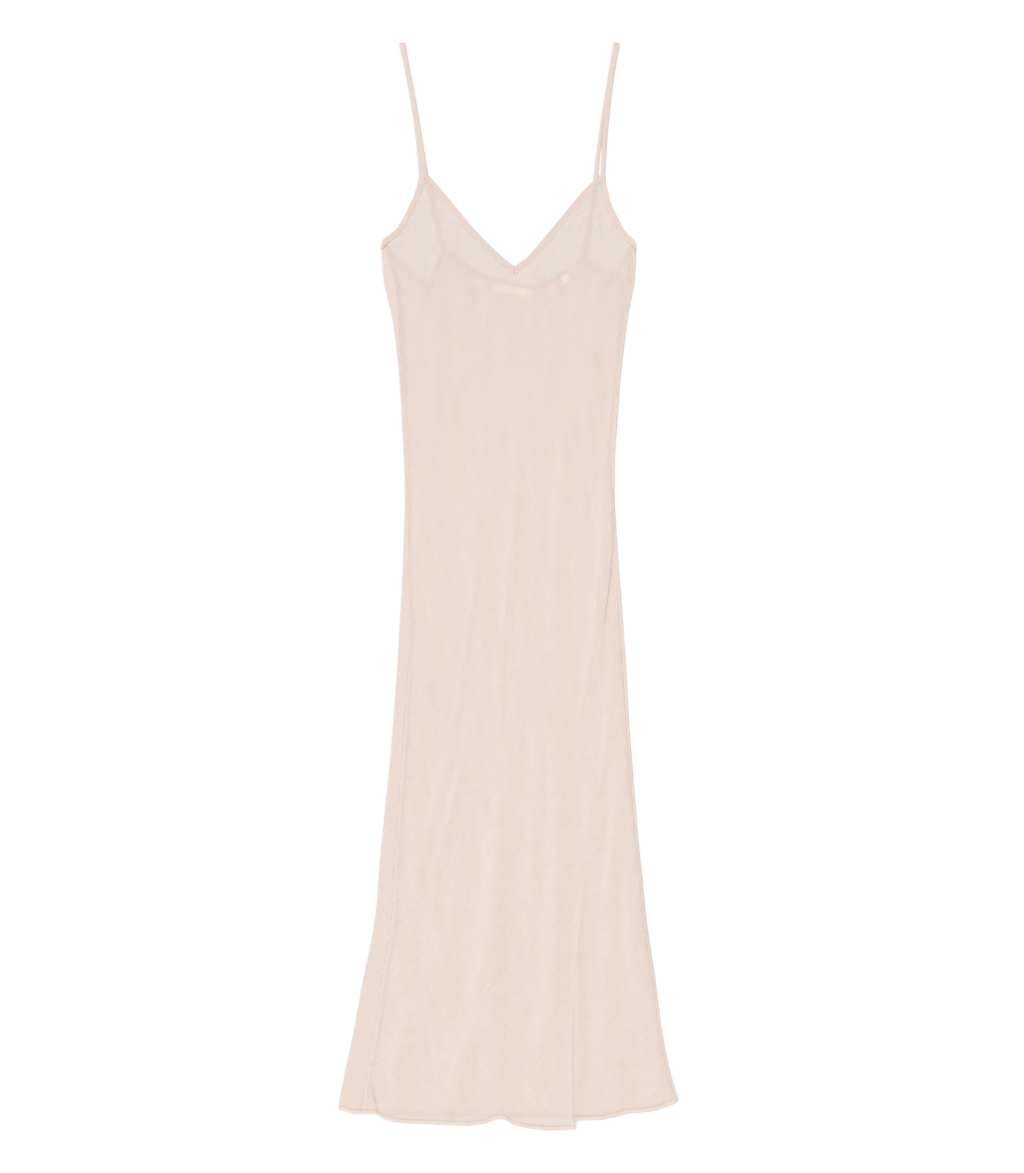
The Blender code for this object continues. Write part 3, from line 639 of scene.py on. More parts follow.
def front_columns(y):
    """X and rise of every column of the front at heights y; one row of arrays for each height."""
    y = np.atleast_1d(np.asarray(y, float))
    left, right = seam_x("left", y), seam_x("right", y)
    slit_x, slit_rise = slit_lap(y)
    crease = read(CREASE, "x", y)[:, None] + FINE_AT_CREASE
    pleat_x, pleat_rise = fold_lap(PLEAT, y)
    tuck_x, tuck_rise = fold_lap(TUCK, y)
    count = COLUMN_COUNTS
    parts = [
        np.hstack([left[:, None], between(left, slit_x[:, 0], count["strip"])]),
        slit_x,
        between(slit_x[:, -1], crease[:, 0], count["middle"]),
        np.hstack([crease, between(crease[:, -1], pleat_x[:, 0], count["right"])]),
        pleat_x,
        between(pleat_x[:, -1], tuck_x[:, 0], count["side"]),
        tuck_x,
        np.hstack([between(tuck_x[:, -1], right, count["edge"]), right[:, None]]),
    ]
    x = np.hstack(parts)
    slit_start, slit_end, _, pleat_start, pleat_end, tuck_start, tuck_end, _ = np.cumsum(
        [part.shape[1] for part in parts]
    )
    rise = np.zeros_like(x)
    rise[:, slit_start:slit_end] += slit_rise
    beyond = x[:, slit_end:] - slit_x[:, -1:]
    rise[:, slit_end:] += slit_rise[:, -1:] * (1 - smoothstep(beyond / SLIT_REACH))
    rise[:, :pleat_start] += raised_by(PLEAT, x[:, :pleat_start].T, y).T
    rise[:, pleat_start:pleat_end] += pleat_rise
    rise[:, :tuck_start] += raised_by(TUCK, x[:, :tuck_start].T, y).T
    rise[:, tuck_start:tuck_end] += tuck_rise
    return x, rise


COLUMNS = front_columns([0.0])[0].shape[1]
CREASE_START = 1 + COLUMN_COUNTS["strip"] + LAP_POINTS + COLUMN_COUNTS["middle"]
CREASE_COLUMN = CREASE_START + int(np.argmin(np.abs(FINE_AT_CREASE)))
PLEAT_MIDDLE = CREASE_START + len(FINE_AT_CREASE) + COLUMN_COUNTS["right"] + LAP_POINTS / 2


def front_points(y):
    """Points of the front at heights y, as (rows, columns, 3); each column may have its own y."""
    y = np.asarray(y, float)
    if y.ndim == 1:
        x, rise = front_columns(y)
        y = np.repeat(y[:, None], x.shape[1], axis=1)
    else:
        x, rise = np.empty_like(y), np.empty_like(y)
        for row in range(len(y)):
            all_x, all_rise = front_columns(y[row])
            x[row], rise[row] = np.diagonal(all_x), np.diagonal(all_rise)
    z = front_height(x, y) + crease_height(x, y) + rise
    return np.stack([x, y, z], axis=2)


def front_hem_y():
    """Bottom edge of the front for each column, found in a few rounds as x depends on y."""
    y = np.full(COLUMNS, -695.0)
    right_of_pleat = np.arange(COLUMNS) >= PLEAT_MIDDLE
    for _ in range(4):
        x = np.diagonal(front_columns(y)[0])
        left_hem = np.interp(x, FRONT_HEM_LEFT["x"], FRONT_HEM_LEFT["y"])
        right_hem = np.interp(x, FRONT_HEM_RIGHT["x"], FRONT_HEM_RIGHT["y"])
        y = np.where(right_of_pleat, right_hem, left_hem)
    return y


# ---------------------------------------------------------------- points of the back

EDGE_STEPS = 10  # round each side fold
STRIP_STEPS = 6  # across the strip on top, from the seam to the side fold

# The back's cut edge lies under the front beside the seam: distance from the seam towards the
# dress's middle, and depth below the front's cloth
SEAM_DEPTH = 0.23
ALLOWANCE = table(
    "inside  depth",
    (7.0, 0.34),
    (5.0, 0.30),
    (2.5, 0.26),
    (0.0, SEAM_DEPTH),
    (-0.2, SEAM_DEPTH),
    (-0.8, SEAM_DEPTH),
)
NARROW_ALLOWANCE = 0.45  # share of that width on the right, and above the hip on the left
TUCK_CLEARANCE = 1.5  # between the allowance and the tuck
BACK_TOP_SPACING = 3.0
LOOKUP_ROWS = 260  # of the back's sections, between which its rows are found
HEM_SECTION_Y = -690.0


def height_near_seam(side, x, y):
    """Height of the front near a side seam."""
    height = front_height(x, y)
    if side == "right":
        height = height + raised_by(TUCK, x, y)
    return height


def allowance_reach(side, y):
    """Share of its usual width that the back's cut edge has, which stops short of the tuck."""
    if side == "left":
        return NARROW_ALLOWANCE + (1 - NARROW_ALLOWANCE) * smoothstep(-y / HIP_LENGTH)
    room = seam_x(side, y) - read(TUCK, "x", y) - TUCK_CLEARANCE
    room = room / ALLOWANCE["inside"].max()
    beside_tuck = smoothstep(read(TUCK, "rise", y) / 0.2)
    return NARROW_ALLOWANCE * (1 + (np.clip(room, 0.1, 1) - 1) * beside_tuck)


def side_fold(side, y, height_at_seam):
    """Points of the back's side fold at height y, from its seam on top to the flat underside."""
    sign = 1 if side == "left" else -1
    radius = (height_at_seam - BACK_LEVEL) / 2
    edge = read(OUTLINE, side, y)
    centre = edge + sign * (CLOTH_WALL / 2 + radius)
    seam = seam_x(side, y)
    inside = ALLOWANCE["inside"] * np.where(ALLOWANCE["inside"] > 0, allowance_reach(side, y), 1)
    under_x = seam + sign * inside
    under_z = height_near_seam(side, under_x, y) - ALLOWANCE["depth"]
    share = np.linspace(0, 1, STRIP_STEPS + 1)[1:-1]
    top_x = under_x[-1] + (centre - under_x[-1]) * share
    top_x = np.append(under_x, top_x)
    top_z = np.append(under_z, np.full(len(share), height_at_seam))
    angle = math.pi / 2 - math.pi * np.arange(EDGE_STEPS + 1) / EDGE_STEPS
    x = centre - sign * radius * np.cos(angle)
    z = BACK_LEVEL + radius * (1 + np.sin(angle))
    return np.column_stack([np.append(top_x, x), np.append(top_z, z)])


def seam_height(side, y):
    return float(np.squeeze(height_near_seam(side, seam_x(side, y), y))) - SEAM_DEPTH


def back_top_points():
    """Top edge of the back's underside, from one side fold to the other, under its bindings."""
    inset = BINDING_WIDTH - TUCKED_UNDER
    left = inward(points(BACK_ARMHOLE_LEFT), inset)
    left[0] = (-163.5, UNDERARM - inset)
    neck = inward(points(BACK_NECK), inset)
    right = inward(points(BACK_ARMHOLE_RIGHT), inset)
    right[-1] = (164.0, UNDERARM - inset)
    left_tip, right_tip = (-84.0, 427.0), (97.2, 419.0)
    stretches = (
        left[: LEFT_NOTCH + 1],
        [*left[LEFT_NOTCH:-1], left_tip],
        [left_tip, *neck[3:-2], right_tip],
        [right_tip, *right[1 : RIGHT_NOTCH + 1]],
        right[RIGHT_NOTCH:],
    )
    lines = [smooth_line(corners, BACK_TOP_SPACING) for corners in stretches]
    return np.vstack([lines[0], *(line[1:] for line in lines[1:])])


BACK_TOP_POINTS = back_top_points()
BACK_STEPS = len(BACK_TOP_POINTS) - 1
FIRST_FLAT = len(ALLOWANCE["inside"]) + STRIP_STEPS - 1 + EDGE_STEPS
LAST_FLAT = FIRST_FLAT + BACK_STEPS
BACK_COLUMNS = LAST_FLAT + FIRST_FLAT + 1


def back_section(y):
    """Points (x, z) round the back at height y, from its left seam to its right one."""
    left = side_fold("left", y, seam_height("left", y))
    right = side_fold("right", y, seam_height("right", y))
    flat = np.linspace(left[-1][0], right[-1][0], BACK_STEPS + 1)[1:-1]
    flat = np.column_stack([flat, np.full(len(flat), BACK_LEVEL)])
    return np.vstack([left, flat, right[::-1]])


def back_rows_at(heights):
    """Rows of the back; heights has a row of heights for each, one for each column."""
    lookup_y = np.linspace(heights.min(), heights.max(), LOOKUP_ROWS)
    sections = np.array([back_section(y) for y in lookup_y])
    result = np.empty((*heights.shape, 3))
    for column in range(heights.shape[1]):
        for axis, part in ((0, 0), (2, 1)):
            values = sections[:, column, part]
            result[:, column, axis] = np.interp(heights[:, column], lookup_y, values)
    result[:, :, 1] = heights
    return result


def back_hem_y():
    section = back_section(HEM_SECTION_Y)
    return np.interp(section[:, 0], BACK_HEM["x"], BACK_HEM["y"])


# ---------------------------------------------------------------- meshes

def make_mesh(name, vertices, faces, materials, thread=None, flat=0, second=slice(0)):
    """A mesh from vertices in millimetres; thread gives each vertex its place along the weave.

    The last few faces, as many as flat says, are rims and ends, which aren't shaded smooth, and
    second tells which faces have the second material.
    """
    mesh = bpy.data.meshes.new(name)
    mesh.from_pydata((np.asarray(vertices) * MM).tolist(), [], [list(face) for face in faces])
    mesh.polygons.foreach_set("use_smooth", np.arange(len(faces)) < len(faces) - flat)
    if thread is not None:
        layer = mesh.uv_layers.new(name="thread")
        loops = np.empty(len(mesh.loops), np.int32)
        mesh.loops.foreach_get("vertex_index", loops)
        layer.data.foreach_set("uv", (np.asarray(thread)[loops] * MM).astype(np.float32).ravel())
    for material in materials:
        mesh.materials.append(material)
    index = np.zeros(len(faces), np.int32)
    index[second] = 1
    mesh.polygons.foreach_set("material_index", index)
    mesh.update()
    piece = bpy.data.objects.new(name, mesh)
    bpy.context.scene.collection.objects.link(piece)
    return piece


def face_outward(piece):
    """Turns the faces of a closed mesh outward."""
    mesh = bmesh.new()
    mesh.from_mesh(piece.data)
    bmesh.ops.recalc_face_normals(mesh, faces=mesh.faces)
    mesh.to_mesh(piece.data)
    mesh.free()
    return piece


def grid_faces(index):
    """Quads of a grid of vertex indices."""
    a, b, c, d = index[:-1, :-1], index[:-1, 1:], index[1:, 1:], index[1:, :-1]
    return np.stack([a, b, c, d], axis=2).reshape(-1, 4)


def shell(name, vertices, quads, materials, thread, wall=CLOTH_WALL):
    """A closed thin shell about a surface of quads; a second material is for its inner side."""
    vertices, quads = np.asarray(vertices, float), np.asarray(quads)
    corners = vertices[quads]
    normals = np.cross(corners[:, 2] - corners[:, 0], corners[:, 3] - corners[:, 1])
    at_vertex = np.zeros_like(vertices)
    for k in range(4):
        np.add.at(at_vertex, quads[:, k], normals)
    at_vertex = unit(at_vertex)
    edges = np.concatenate([quads[:, [k, (k + 1) % 4]] for k in range(4)])
    _, first, count = np.unique(
        np.sort(edges, axis=1), axis=0, return_index=True, return_counts=True
    )
    rim = edges[first[count == 1]]
    n = len(vertices)
    sides = np.column_stack([rim[:, 1], rim[:, 0], rim[:, 0] + n, rim[:, 1] + n])
    both = np.vstack([vertices + at_vertex * wall / 2, vertices - at_vertex * wall / 2])
    faces = np.vstack([quads, quads[:, ::-1] + n, sides])
    inner = slice(len(quads), 2 * len(quads)) if len(materials) > 1 else slice(0)
    return make_mesh(name, both, faces, materials, np.vstack([thread, thread]), len(sides), inner)


THREAD_TURN = table(
    "y     angle", (700, 68), (300, 68), (0, 66), (-300, 62), (-500, 54), (-620, 47), (-720, 44)
)  # degrees from X of the threads that show, on the front


def thread_of(x, y, mirrored=False):
    """Place of a point along and across the threads."""
    heights = np.linspace(-720, 720, 289)
    lean = 1 / np.tan(np.radians(read(THREAD_TURN, "angle", heights)))
    drift = np.concatenate([[0], np.cumsum((lean[1:] + lean[:-1]) / 2 * np.diff(heights))])
    drift = np.interp(y, heights, drift)
    across = x + drift if mirrored else x - drift
    return np.column_stack([np.ravel(y), np.ravel(across)])


def tube(name, sections, thread, material):
    """A closed tube through sections, which are loops of as many points each."""
    count, size = sections.shape[:2]
    index = np.arange(count * size).reshape(count, size)
    faces = [tuple(face) for face in grid_faces(np.column_stack([index, index[:, :1]]))]
    faces += [tuple(index[0][::-1]), tuple(index[-1])]
    vertices, thread = sections.reshape(-1, 3), thread.reshape(-1, 2)
    return face_outward(make_mesh(name, vertices, faces, [material], thread, flat=2))


def sweep(name, line, profile, material, side=None, up=None, widths=None):
    """A closed tube: a loop of (across, up) points carried along a line of (x, y, z) points.

    Across is to the right of the line, as seen from above, and widths stretches it.
    """
    ahead, mitre = ahead_and_mitre(line)
    stretch = np.ones(len(line))
    if side is None:
        flat = unit(ahead[:, :2])
        side = np.column_stack([flat[:, 1], -flat[:, 0], np.zeros(len(line))])
        stretch = 1 / mitre
    if up is None:
        up = np.cross(side, ahead)
    if widths is not None:
        stretch = stretch * widths
    across = (profile[None, :, 0] * stretch[:, None])[..., None] * side[:, None]
    sections = line[:, None] + across + profile[None, :, 1, None] * up[:, None]
    along, around = run_length(line)[:, None], run_length(profile)[None]
    return tube(name, sections, np.stack(np.broadcast_arrays(along, around), axis=2), material)


def stitches(name, lines, material, pitch=2.5, length=1.7, radius=0.17):
    """Short raised threads in a row along each line of (x, y, z) points, joined in one mesh."""
    shape = np.array([(-0.5, 0.15), (-0.32, 1.0), (0.32, 1.0), (0.5, 0.15)])
    sides = 5
    ring = 2 * np.pi * np.arange(sides) / sides
    ring_faces = []
    for k in range(len(shape) - 1):
        for j in range(sides):
            n = (j + 1) % sides
            low, high = k * sides, (k + 1) * sides
            ring_faces.append((low + j, low + n, high + n, high + j))
    caps = [tuple(range(sides))[::-1], tuple(range((len(shape) - 1) * sides, len(shape) * sides))]
    vertices, faces = [], []
    for line in lines:
        run = run_length(line)
        for at in np.arange(pitch / 2, run[-1] - pitch / 2, pitch):
            middle, beyond = (
                np.array([np.interp(at + d, run, line[:, k]) for k in range(3)]) for d in (0, 0.3)
            )
            ahead = (beyond - middle) / np.linalg.norm(beyond - middle)
            side = np.array([ahead[1], -ahead[0], 0])
            side /= np.linalg.norm(side)
            up = np.cross(side, ahead)
            start = len(vertices)
            for share, swell in shape:
                for angle in ring:
                    out = radius * swell * (math.cos(angle) * side + math.sin(angle) * up)
                    vertices.append(middle + share * length * ahead + out)
            faces += [tuple(start + v for v in face) for face in ring_faces + caps]
    return make_mesh(name, vertices, faces, [material])


# ---------------------------------------------------------------- materials

def shader_tree(name, colour, roughness, alpha=1.0, specular=0.3):
    material = bpy.data.materials.new(name)
    material.use_nodes = True
    tree = material.node_tree
    shader = tree.nodes["Principled BSDF"]
    values = (*colour, 1), roughness, specular, alpha
    for key, value in zip(("Base Color", "Roughness", "Specular IOR Level", "Alpha"), values):
        shader.inputs[key].default_value = value
    return material, tree, shader


def add_node(tree, kind, inputs, operation=None):
    """A node; each of its inputs is a value or another node's output."""
    node = tree.nodes.new(kind)
    if operation:
        node.operation = operation
    for key, value in inputs.items():
        if isinstance(value, bpy.types.NodeSocket):
            tree.links.new(value, node.inputs[key])
        else:
            node.inputs[key].default_value = value
    return node


def noise(tree, vector, scale, detail=2.0, rough=0.5):
    """A flat noise texture, stretched by scale."""
    mapping = add_node(tree, "ShaderNodeMapping", {"Vector": vector, "Scale": (*scale, 1)})
    inputs = {"Scale": 1.0, "Detail": detail, "Roughness": rough}
    texture = add_node(tree, "ShaderNodeTexNoise", inputs)
    texture.noise_dimensions = "2D"
    tree.links.new(mapping.outputs["Vector"], texture.inputs["Vector"])
    return texture.outputs["Fac"]


def solid_noise(tree, scale, detail):
    vector = tree.nodes.new("ShaderNodeTexCoord").outputs["Object"]
    inputs = {"Vector": vector, "Scale": scale, "Detail": detail}
    return add_node(tree, "ShaderNodeTexNoise", inputs).outputs["Fac"]


def remap(tree, value, low, high, to_low, to_high):
    inputs = {"From Min": low, "From Max": high, "To Min": to_low, "To Max": to_high}
    return add_node(tree, "ShaderNodeMapRange", {"Value": value, **inputs}).outputs["Result"]


def combine(tree, operation, value, *others):
    for other in others:
        value = add_node(tree, "ShaderNodeMath", {0: value, 1: other}, operation).outputs[0]
    return value


def scaled(tree, colour, factor):
    inputs = {0: colour, "Scale": factor}
    return add_node(tree, "ShaderNodeVectorMath", inputs, "SCALE").outputs[0]


def part_of(tree, vector, axis):
    return add_node(tree, "ShaderNodeSeparateXYZ", {"Vector": vector}).outputs[axis]


def thread_coordinates(tree):
    node = tree.nodes.new("ShaderNodeUVMap")
    node.uv_map = "thread"
    return node.outputs["UV"]


def add_bump(tree, shader, height, strength, distance):
    inputs = {"Strength": strength, "Distance": distance, "Height": height}
    bump = add_node(tree, "ShaderNodeBump", inputs)
    tree.links.new(bump.outputs["Normal"], shader.inputs["Normal"])


PAINTED_LIGHT_AND_STREAK_SHIFT = (-0.009, 0.004, 0.02)  # of red, green and blue: painted light, cooler where the cloth turns to the left towards the key light and warmer where it turns away; the random streaks take it too
FULL_PAINTED_LIGHT_TURN = 0.16  # sideways part of the normal where that painted light is full
STRONG_HEIGHTS = (-0.45, 0.05)  # metres, between which the slubs fade upwards
STRONG_SHARES = (2.7, 1.2)
FADE_HEIGHTS = (0.12, 0.40)  # metres, where the cloth starts and ends getting darker


def silk(name, colour, alpha=1.0, slub=1.0, fade=0.0):
    """Crinkled silk: bright slubs along the threads over a fine grain, in colour and in bump.

    fade is how much darker it gets towards the bust.
    """
    material, tree, shader = shader_tree(name, colour, 0.42, alpha, 0.5)
    thread = thread_coordinates(tree)
    slubs = noise(tree, thread, (45, 700))
    crinkle = noise(tree, thread, (150, 640), rough=0.6)
    grain = noise(tree, thread, (1500, 1500), 1.0)
    cloud = noise(tree, thread, (4, 26), 1.0)
    streak = noise(tree, tree.nodes.new("ShaderNodeTexCoord").outputs["Object"], (34, 2.6), 1.5)
    up = part_of(tree, thread, "X")

    bright = remap(tree, slubs, 0.5, 0.75, 0.0, 0.03 * slub)
    fine = remap(tree, crinkle, 0.25, 0.75, -0.012 * slub, 0.012 * slub)
    share = remap(tree, up, *STRONG_HEIGHTS, *STRONG_SHARES)
    stronger = combine(tree, "MULTIPLY", combine(tree, "ADD", bright, fine), share)
    speckle = remap(tree, grain, 0.25, 0.75, -0.014, 0.014)
    drift = remap(tree, cloud, 0.3, 0.7, 0.993, 1.003)
    upward_darkening = remap(tree, up, *FADE_HEIGHTS, 0.0, -fade)
    factor = combine(tree, "ADD", stronger, speckle, drift, upward_darkening)

    # Painted light: cooler colour on slopes that turn towards the key light on the left, warmer on
    # slopes that turn away, plus random cool and warm streaks.
    sideways = part_of(tree, tree.nodes.new("ShaderNodeNewGeometry").outputs["Normal"], "X")
    turned = remap(tree, sideways, -FULL_PAINTED_LIGHT_TURN, FULL_PAINTED_LIGHT_TURN, 1.0, -1.0)
    painted_light_and_streaks = combine(tree, "ADD", turned, remap(tree, streak, 0.3, 0.7, -0.2, 0.2))
    shift = [part * shift for part, shift in zip(colour, PAINTED_LIGHT_AND_STREAK_SHIFT)]
    inputs = {0: painted_light_and_streaks, 1: shift, 2: scaled(tree, colour, factor)}
    tint = add_node(tree, "ShaderNodeVectorMath", inputs, "MULTIPLY_ADD")
    tree.links.new(tint.outputs[0], shader.inputs["Base Color"])

    relief = combine(
        tree,
        "ADD",
        remap(tree, slubs, 0.45, 0.8, 0.0, 1.0),
        remap(tree, crinkle, 0.2, 0.8, 0.0, 0.8),
        remap(tree, grain, 0.2, 0.8, 0.0, 0.25),
    )
    add_bump(tree, shader, relief, 0.35, 0.0003)
    return material


def plastic(name, colour):
    material, tree, shader = shader_tree(name, colour, 0.15, 0.55, 0.5)
    rough = remap(tree, solid_noise(tree, 900.0, 2.0), 0.3, 0.7, 0.12, 0.22)
    tree.links.new(rough, shader.inputs["Roughness"])
    return material


def plain_thread(name, colour):
    material, tree, shader = shader_tree(name, colour, 0.5)
    add_bump(tree, shader, solid_noise(tree, 3000.0, 1.0), 0.4, 0.0001)
    return material


def woven_tape(name, colour):
    """Label tape: ribs along it and fine cross threads."""
    material, tree, shader = shader_tree(name, colour, 0.55)
    thread = thread_coordinates(tree)
    ribs = noise(tree, thread, (60, 2400), 1.0)
    grain = noise(tree, thread, (1800, 1800), 1.0)
    bright = remap(tree, ribs, 0.3, 0.7, 0.97, 1.0)
    factor = combine(tree, "ADD", bright, remap(tree, grain, 0.3, 0.7, -0.01, 0.02))
    tree.links.new(scaled(tree, colour, factor), shader.inputs["Base Color"])
    add_bump(tree, shader, ribs, 0.4, 0.00015)
    return material


# The front is sheer. What lies behind it gets only the light that comes through it, so the sides
# that face it
# are paler: painted light, in paler copies of the back's and the trim's colours.
FRONT_COLOUR = (0.793, 0.694, 0.622)
BACK_COLOUR = (0.610, 0.512, 0.458)
PAINTED_LIGHT_BACK_COLOUR = (0.805, 0.695, 0.65)
TRIM_COLOUR = (0.61, 0.495, 0.435)
PAINTED_LIGHT_TRIM_COLOUR = (0.785, 0.637, 0.565)
HEM_COLOUR = (0.64, 0.545, 0.487)
SHEER = 0.4  # opacity of each of the front's two surfaces

FRONT_SILK = silk("crinkled_silk", FRONT_COLOUR, SHEER, fade=0.045)
BACK_SILK = silk("crinkled_silk_behind", BACK_COLOUR)
PAINTED_LIGHT_BACK_SILK = silk("crinkled_silk_painted_light", PAINTED_LIGHT_BACK_COLOUR)
TRIM = silk("doubled_silk", TRIM_COLOUR, slub=0.7)
STRAP = silk("strap_silk", TRIM_COLOUR, slub=0.6)
PAINTED_LIGHT_TRIM = silk("doubled_silk_painted_light", PAINTED_LIGHT_TRIM_COLOUR, slub=0.7)
HEM = silk("rolled_silk", HEM_COLOUR, slub=0.6)
LABEL = woven_tape("woven_label", (0.91, 0.86, 0.775))
WHITE_LABEL = woven_tape("woven_white_label", (1.0, 0.97, 0.94))
THREAD = plain_thread("sewing_thread", (0.575, 0.475, 0.42))
# Painted light: paler thread for the stitches behind the front, and for the painted highlight
# beside the neck's binding.
PAINTED_LIGHT_THREAD = plain_thread("thread_painted_light", (0.70, 0.64, 0.585))
# Painted shade: the colour of the dark lines in grooves and at the pinched hem.
PAINTED_SHADE = plain_thread("painted_shade_line", (0.47, 0.36, 0.305))
LABEL_THREAD = plain_thread("label_thread", (0.84, 0.74, 0.55))
RING = plastic("clear_ring", (0.92, 0.86, 0.82))


def belongs(piece, slot, *nodes):
    """The piece rides with the dress and stands for these solids; slot is not used."""
    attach(piece, "root")
    if nodes:
        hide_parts(*nodes)
    return piece


# ---------------------------------------------------------------- panels

class Surface:
    """Vertices and quads, collected grid by grid."""

    def __init__(self):
        self.vertices, self.quads = [], []

    def add(self, grid, first_row=None):
        """Adds a grid of points; first_row holds indices that its first row shares."""
        rows, columns = grid.shape[:2]
        start = len(self.vertices)
        if first_row is None:
            self.vertices.extend(grid.reshape(-1, 3))
            index = start + np.arange(rows * columns).reshape(rows, columns)
        else:
            self.vertices.extend(grid[1:].reshape(-1, 3))
            index = start + np.arange((rows - 1) * columns).reshape(rows - 1, columns)
            index = np.vstack([first_row, index])
        self.quads.extend(grid_faces(index))
        return index


ROW_SPACING = 4.4
CURVED_ROW_SPACING = 3.0  # at the hem and beside the neck
BELOW_CORNER, ABOVE_CORNER = 6, 16  # the rows are 1 mm apart so near to the underarm's corner


def front_body_heights():
    """Heights of the front's rows up to the point of the neck, one for each column."""
    hem = front_hem_y() + HEM_WIDTH - HEM_TUCKED_UNDER
    straight = np.arange(LOWEST_ROW, NECK_POINT_Y, ROW_SPACING)
    straight = np.append(straight, NECK_POINT_Y)
    curved_rows = int((LOWEST_ROW - hem.min()) / CURVED_ROW_SPACING)
    share = np.linspace(0, 1, curved_rows + 1)[:-1, None]
    curved = hem + (LOWEST_ROW - hem) * share
    return np.vstack([curved, np.repeat(straight[:, None], COLUMNS, axis=1)])


def lobe_rows(body_top, first, last, armhole, neck, armhole_is_left):
    """Rows of one side of the front above the point of the neck."""
    low = body_top[first : last + 1, 0]
    share = (low - low[0]) / (low[-1] - low[0])
    corner_y = armhole[:, 1].min()
    fine = np.arange(corner_y - BELOW_CORNER, corner_y + ABOVE_CORNER, 1.0)
    coarse = np.arange(NECK_POINT_Y, LOBE_TOP, CURVED_ROW_SPACING)
    heights = np.unique(np.concatenate([coarse, fine[fine > NECK_POINT_Y], [LOBE_TOP]]))
    side = "left" if armhole_is_left else "right"
    order = np.argsort(armhole[:, 1])
    outer = np.interp(heights, armhole[order, 1], armhole[order, 0])
    seam = seam_x(side, heights)
    outer = np.where(heights < corner_y, seam, outer)
    widest = np.where(np.abs(seam) > np.abs(outer), seam, outer)
    outer = np.where(heights < UNDERARM_COVERED, widest, outer)
    order = np.argsort(neck[:, 1])
    inner = np.interp(heights, neck[order, 1], neck[order, 0])
    start, end = (outer, inner) if armhole_is_left else (inner, outer)
    x = start[:, None] + (end - start)[:, None] * share
    y = np.repeat(heights[:, None], len(share), axis=1)
    rows = np.stack([x, y, front_height(x, y)], axis=2)
    rows[0] = body_top[first : last + 1]
    return rows


def edge_line(edge, distance):
    """A smooth line beside an edge table."""
    line = smooth_line(points(edge), LINE_SPACING)
    return smooth_line(inward(line, distance), LINE_SPACING)


def make_front():
    surface = Surface()
    body = front_points(front_body_heights())
    index = surface.add(body)
    inset = BINDING_WIDTH - TUCKED_UNDER
    left_neck, right_neck = edge_line(NECK_LEFT, inset), edge_line(NECK_RIGHT, inset)
    left_neck[-1] = right_neck[0] = (NECK_POINT_X, NECK_POINT_Y)
    lobes = (
        (0, CREASE_COLUMN, edge_line(ARMHOLE_LEFT, inset), left_neck, True),
        (CREASE_COLUMN, COLUMNS - 1, edge_line(ARMHOLE_RIGHT, inset), right_neck, False),
    )
    for first, last, armhole, neck, is_left in lobes:
        rows = lobe_rows(body[-1], first, last, armhole, neck, is_left)
        surface.add(rows, index[-1, first : last + 1])
    vertices = np.array(surface.vertices)
    thread = thread_of(vertices[:, 0], vertices[:, 1])
    piece = shell("front", vertices, surface.quads, [FRONT_SILK], thread)
    return belongs(piece, "cloth", "front_panel")


BACK_ROW_SPACING = 6.0
BACK_HEM_ROWS, BACK_TOP_ROWS = 24, 26
BACK_TOP_EASE = 1.5  # keeps the columns upright until near the top edge
STRIP_SLANT, STRIP_RISE, STRIP_MOST = 0.85, 0.4, 4.5  # the strip's top edge, towards the seam


def make_back():
    hem = back_hem_y() + HEM_WIDTH - HEM_TUCKED_UNDER
    out = UNDERARM_END[0] - np.abs(back_section(STRIP_TOP)[:, 0])
    tops = STRIP_TOP + np.clip(STRIP_SLANT * out + STRIP_RISE, 0, STRIP_MOST)
    tops[FIRST_FLAT : LAST_FLAT + 1] = BACK_TOP_POINTS[:, 1]
    curved = hem + (LOWEST_ROW - hem) * np.linspace(0, 1, BACK_HEM_ROWS)[:-1, None]
    straight = np.arange(LOWEST_ROW, HIGHEST_BACK_ROW, BACK_ROW_SPACING)
    straight = np.repeat(straight[:, None], BACK_COLUMNS, axis=1)
    share = np.linspace(0, 1, BACK_TOP_ROWS)[:, None]
    upper = HIGHEST_BACK_ROW + share * (tops - HIGHEST_BACK_ROW)
    rows = back_rows_at(np.vstack([curved, straight, upper]))
    flat = slice(FIRST_FLAT + 1, LAST_FLAT)
    wanted = BACK_TOP_POINTS[1:-1, 0]
    rows[-len(share) :, flat, 0] += (wanted - rows[-len(share) :, flat, 0]) * share**BACK_TOP_EASE
    index = np.arange(rows.shape[0] * rows.shape[1]).reshape(rows.shape[:2])
    vertices = rows.reshape(-1, 3)
    thread = thread_of(vertices[:, 0], vertices[:, 1], mirrored=True)
    # Painted light: the side of the back that faces the front takes the paler silk.
    piece = shell("back", vertices, grid_faces(index)[:, ::-1], [BACK_SILK, PAINTED_LIGHT_BACK_SILK], thread)
    # The allowance folded under the front faces it too, so it gets the same painted light.
    columns = rows.shape[1] - 1
    folded_under = len(ALLOWANCE["inside"]) - 2
    for face in piece.data.polygons[: len(vertices) - rows.shape[0] - columns]:
        column = face.index % columns
        if min(column, columns - 1 - column) < folded_under:
            face.material_index = 1
    return belongs(piece, "cloth", "back_panel")


# ---------------------------------------------------------------- bound edges

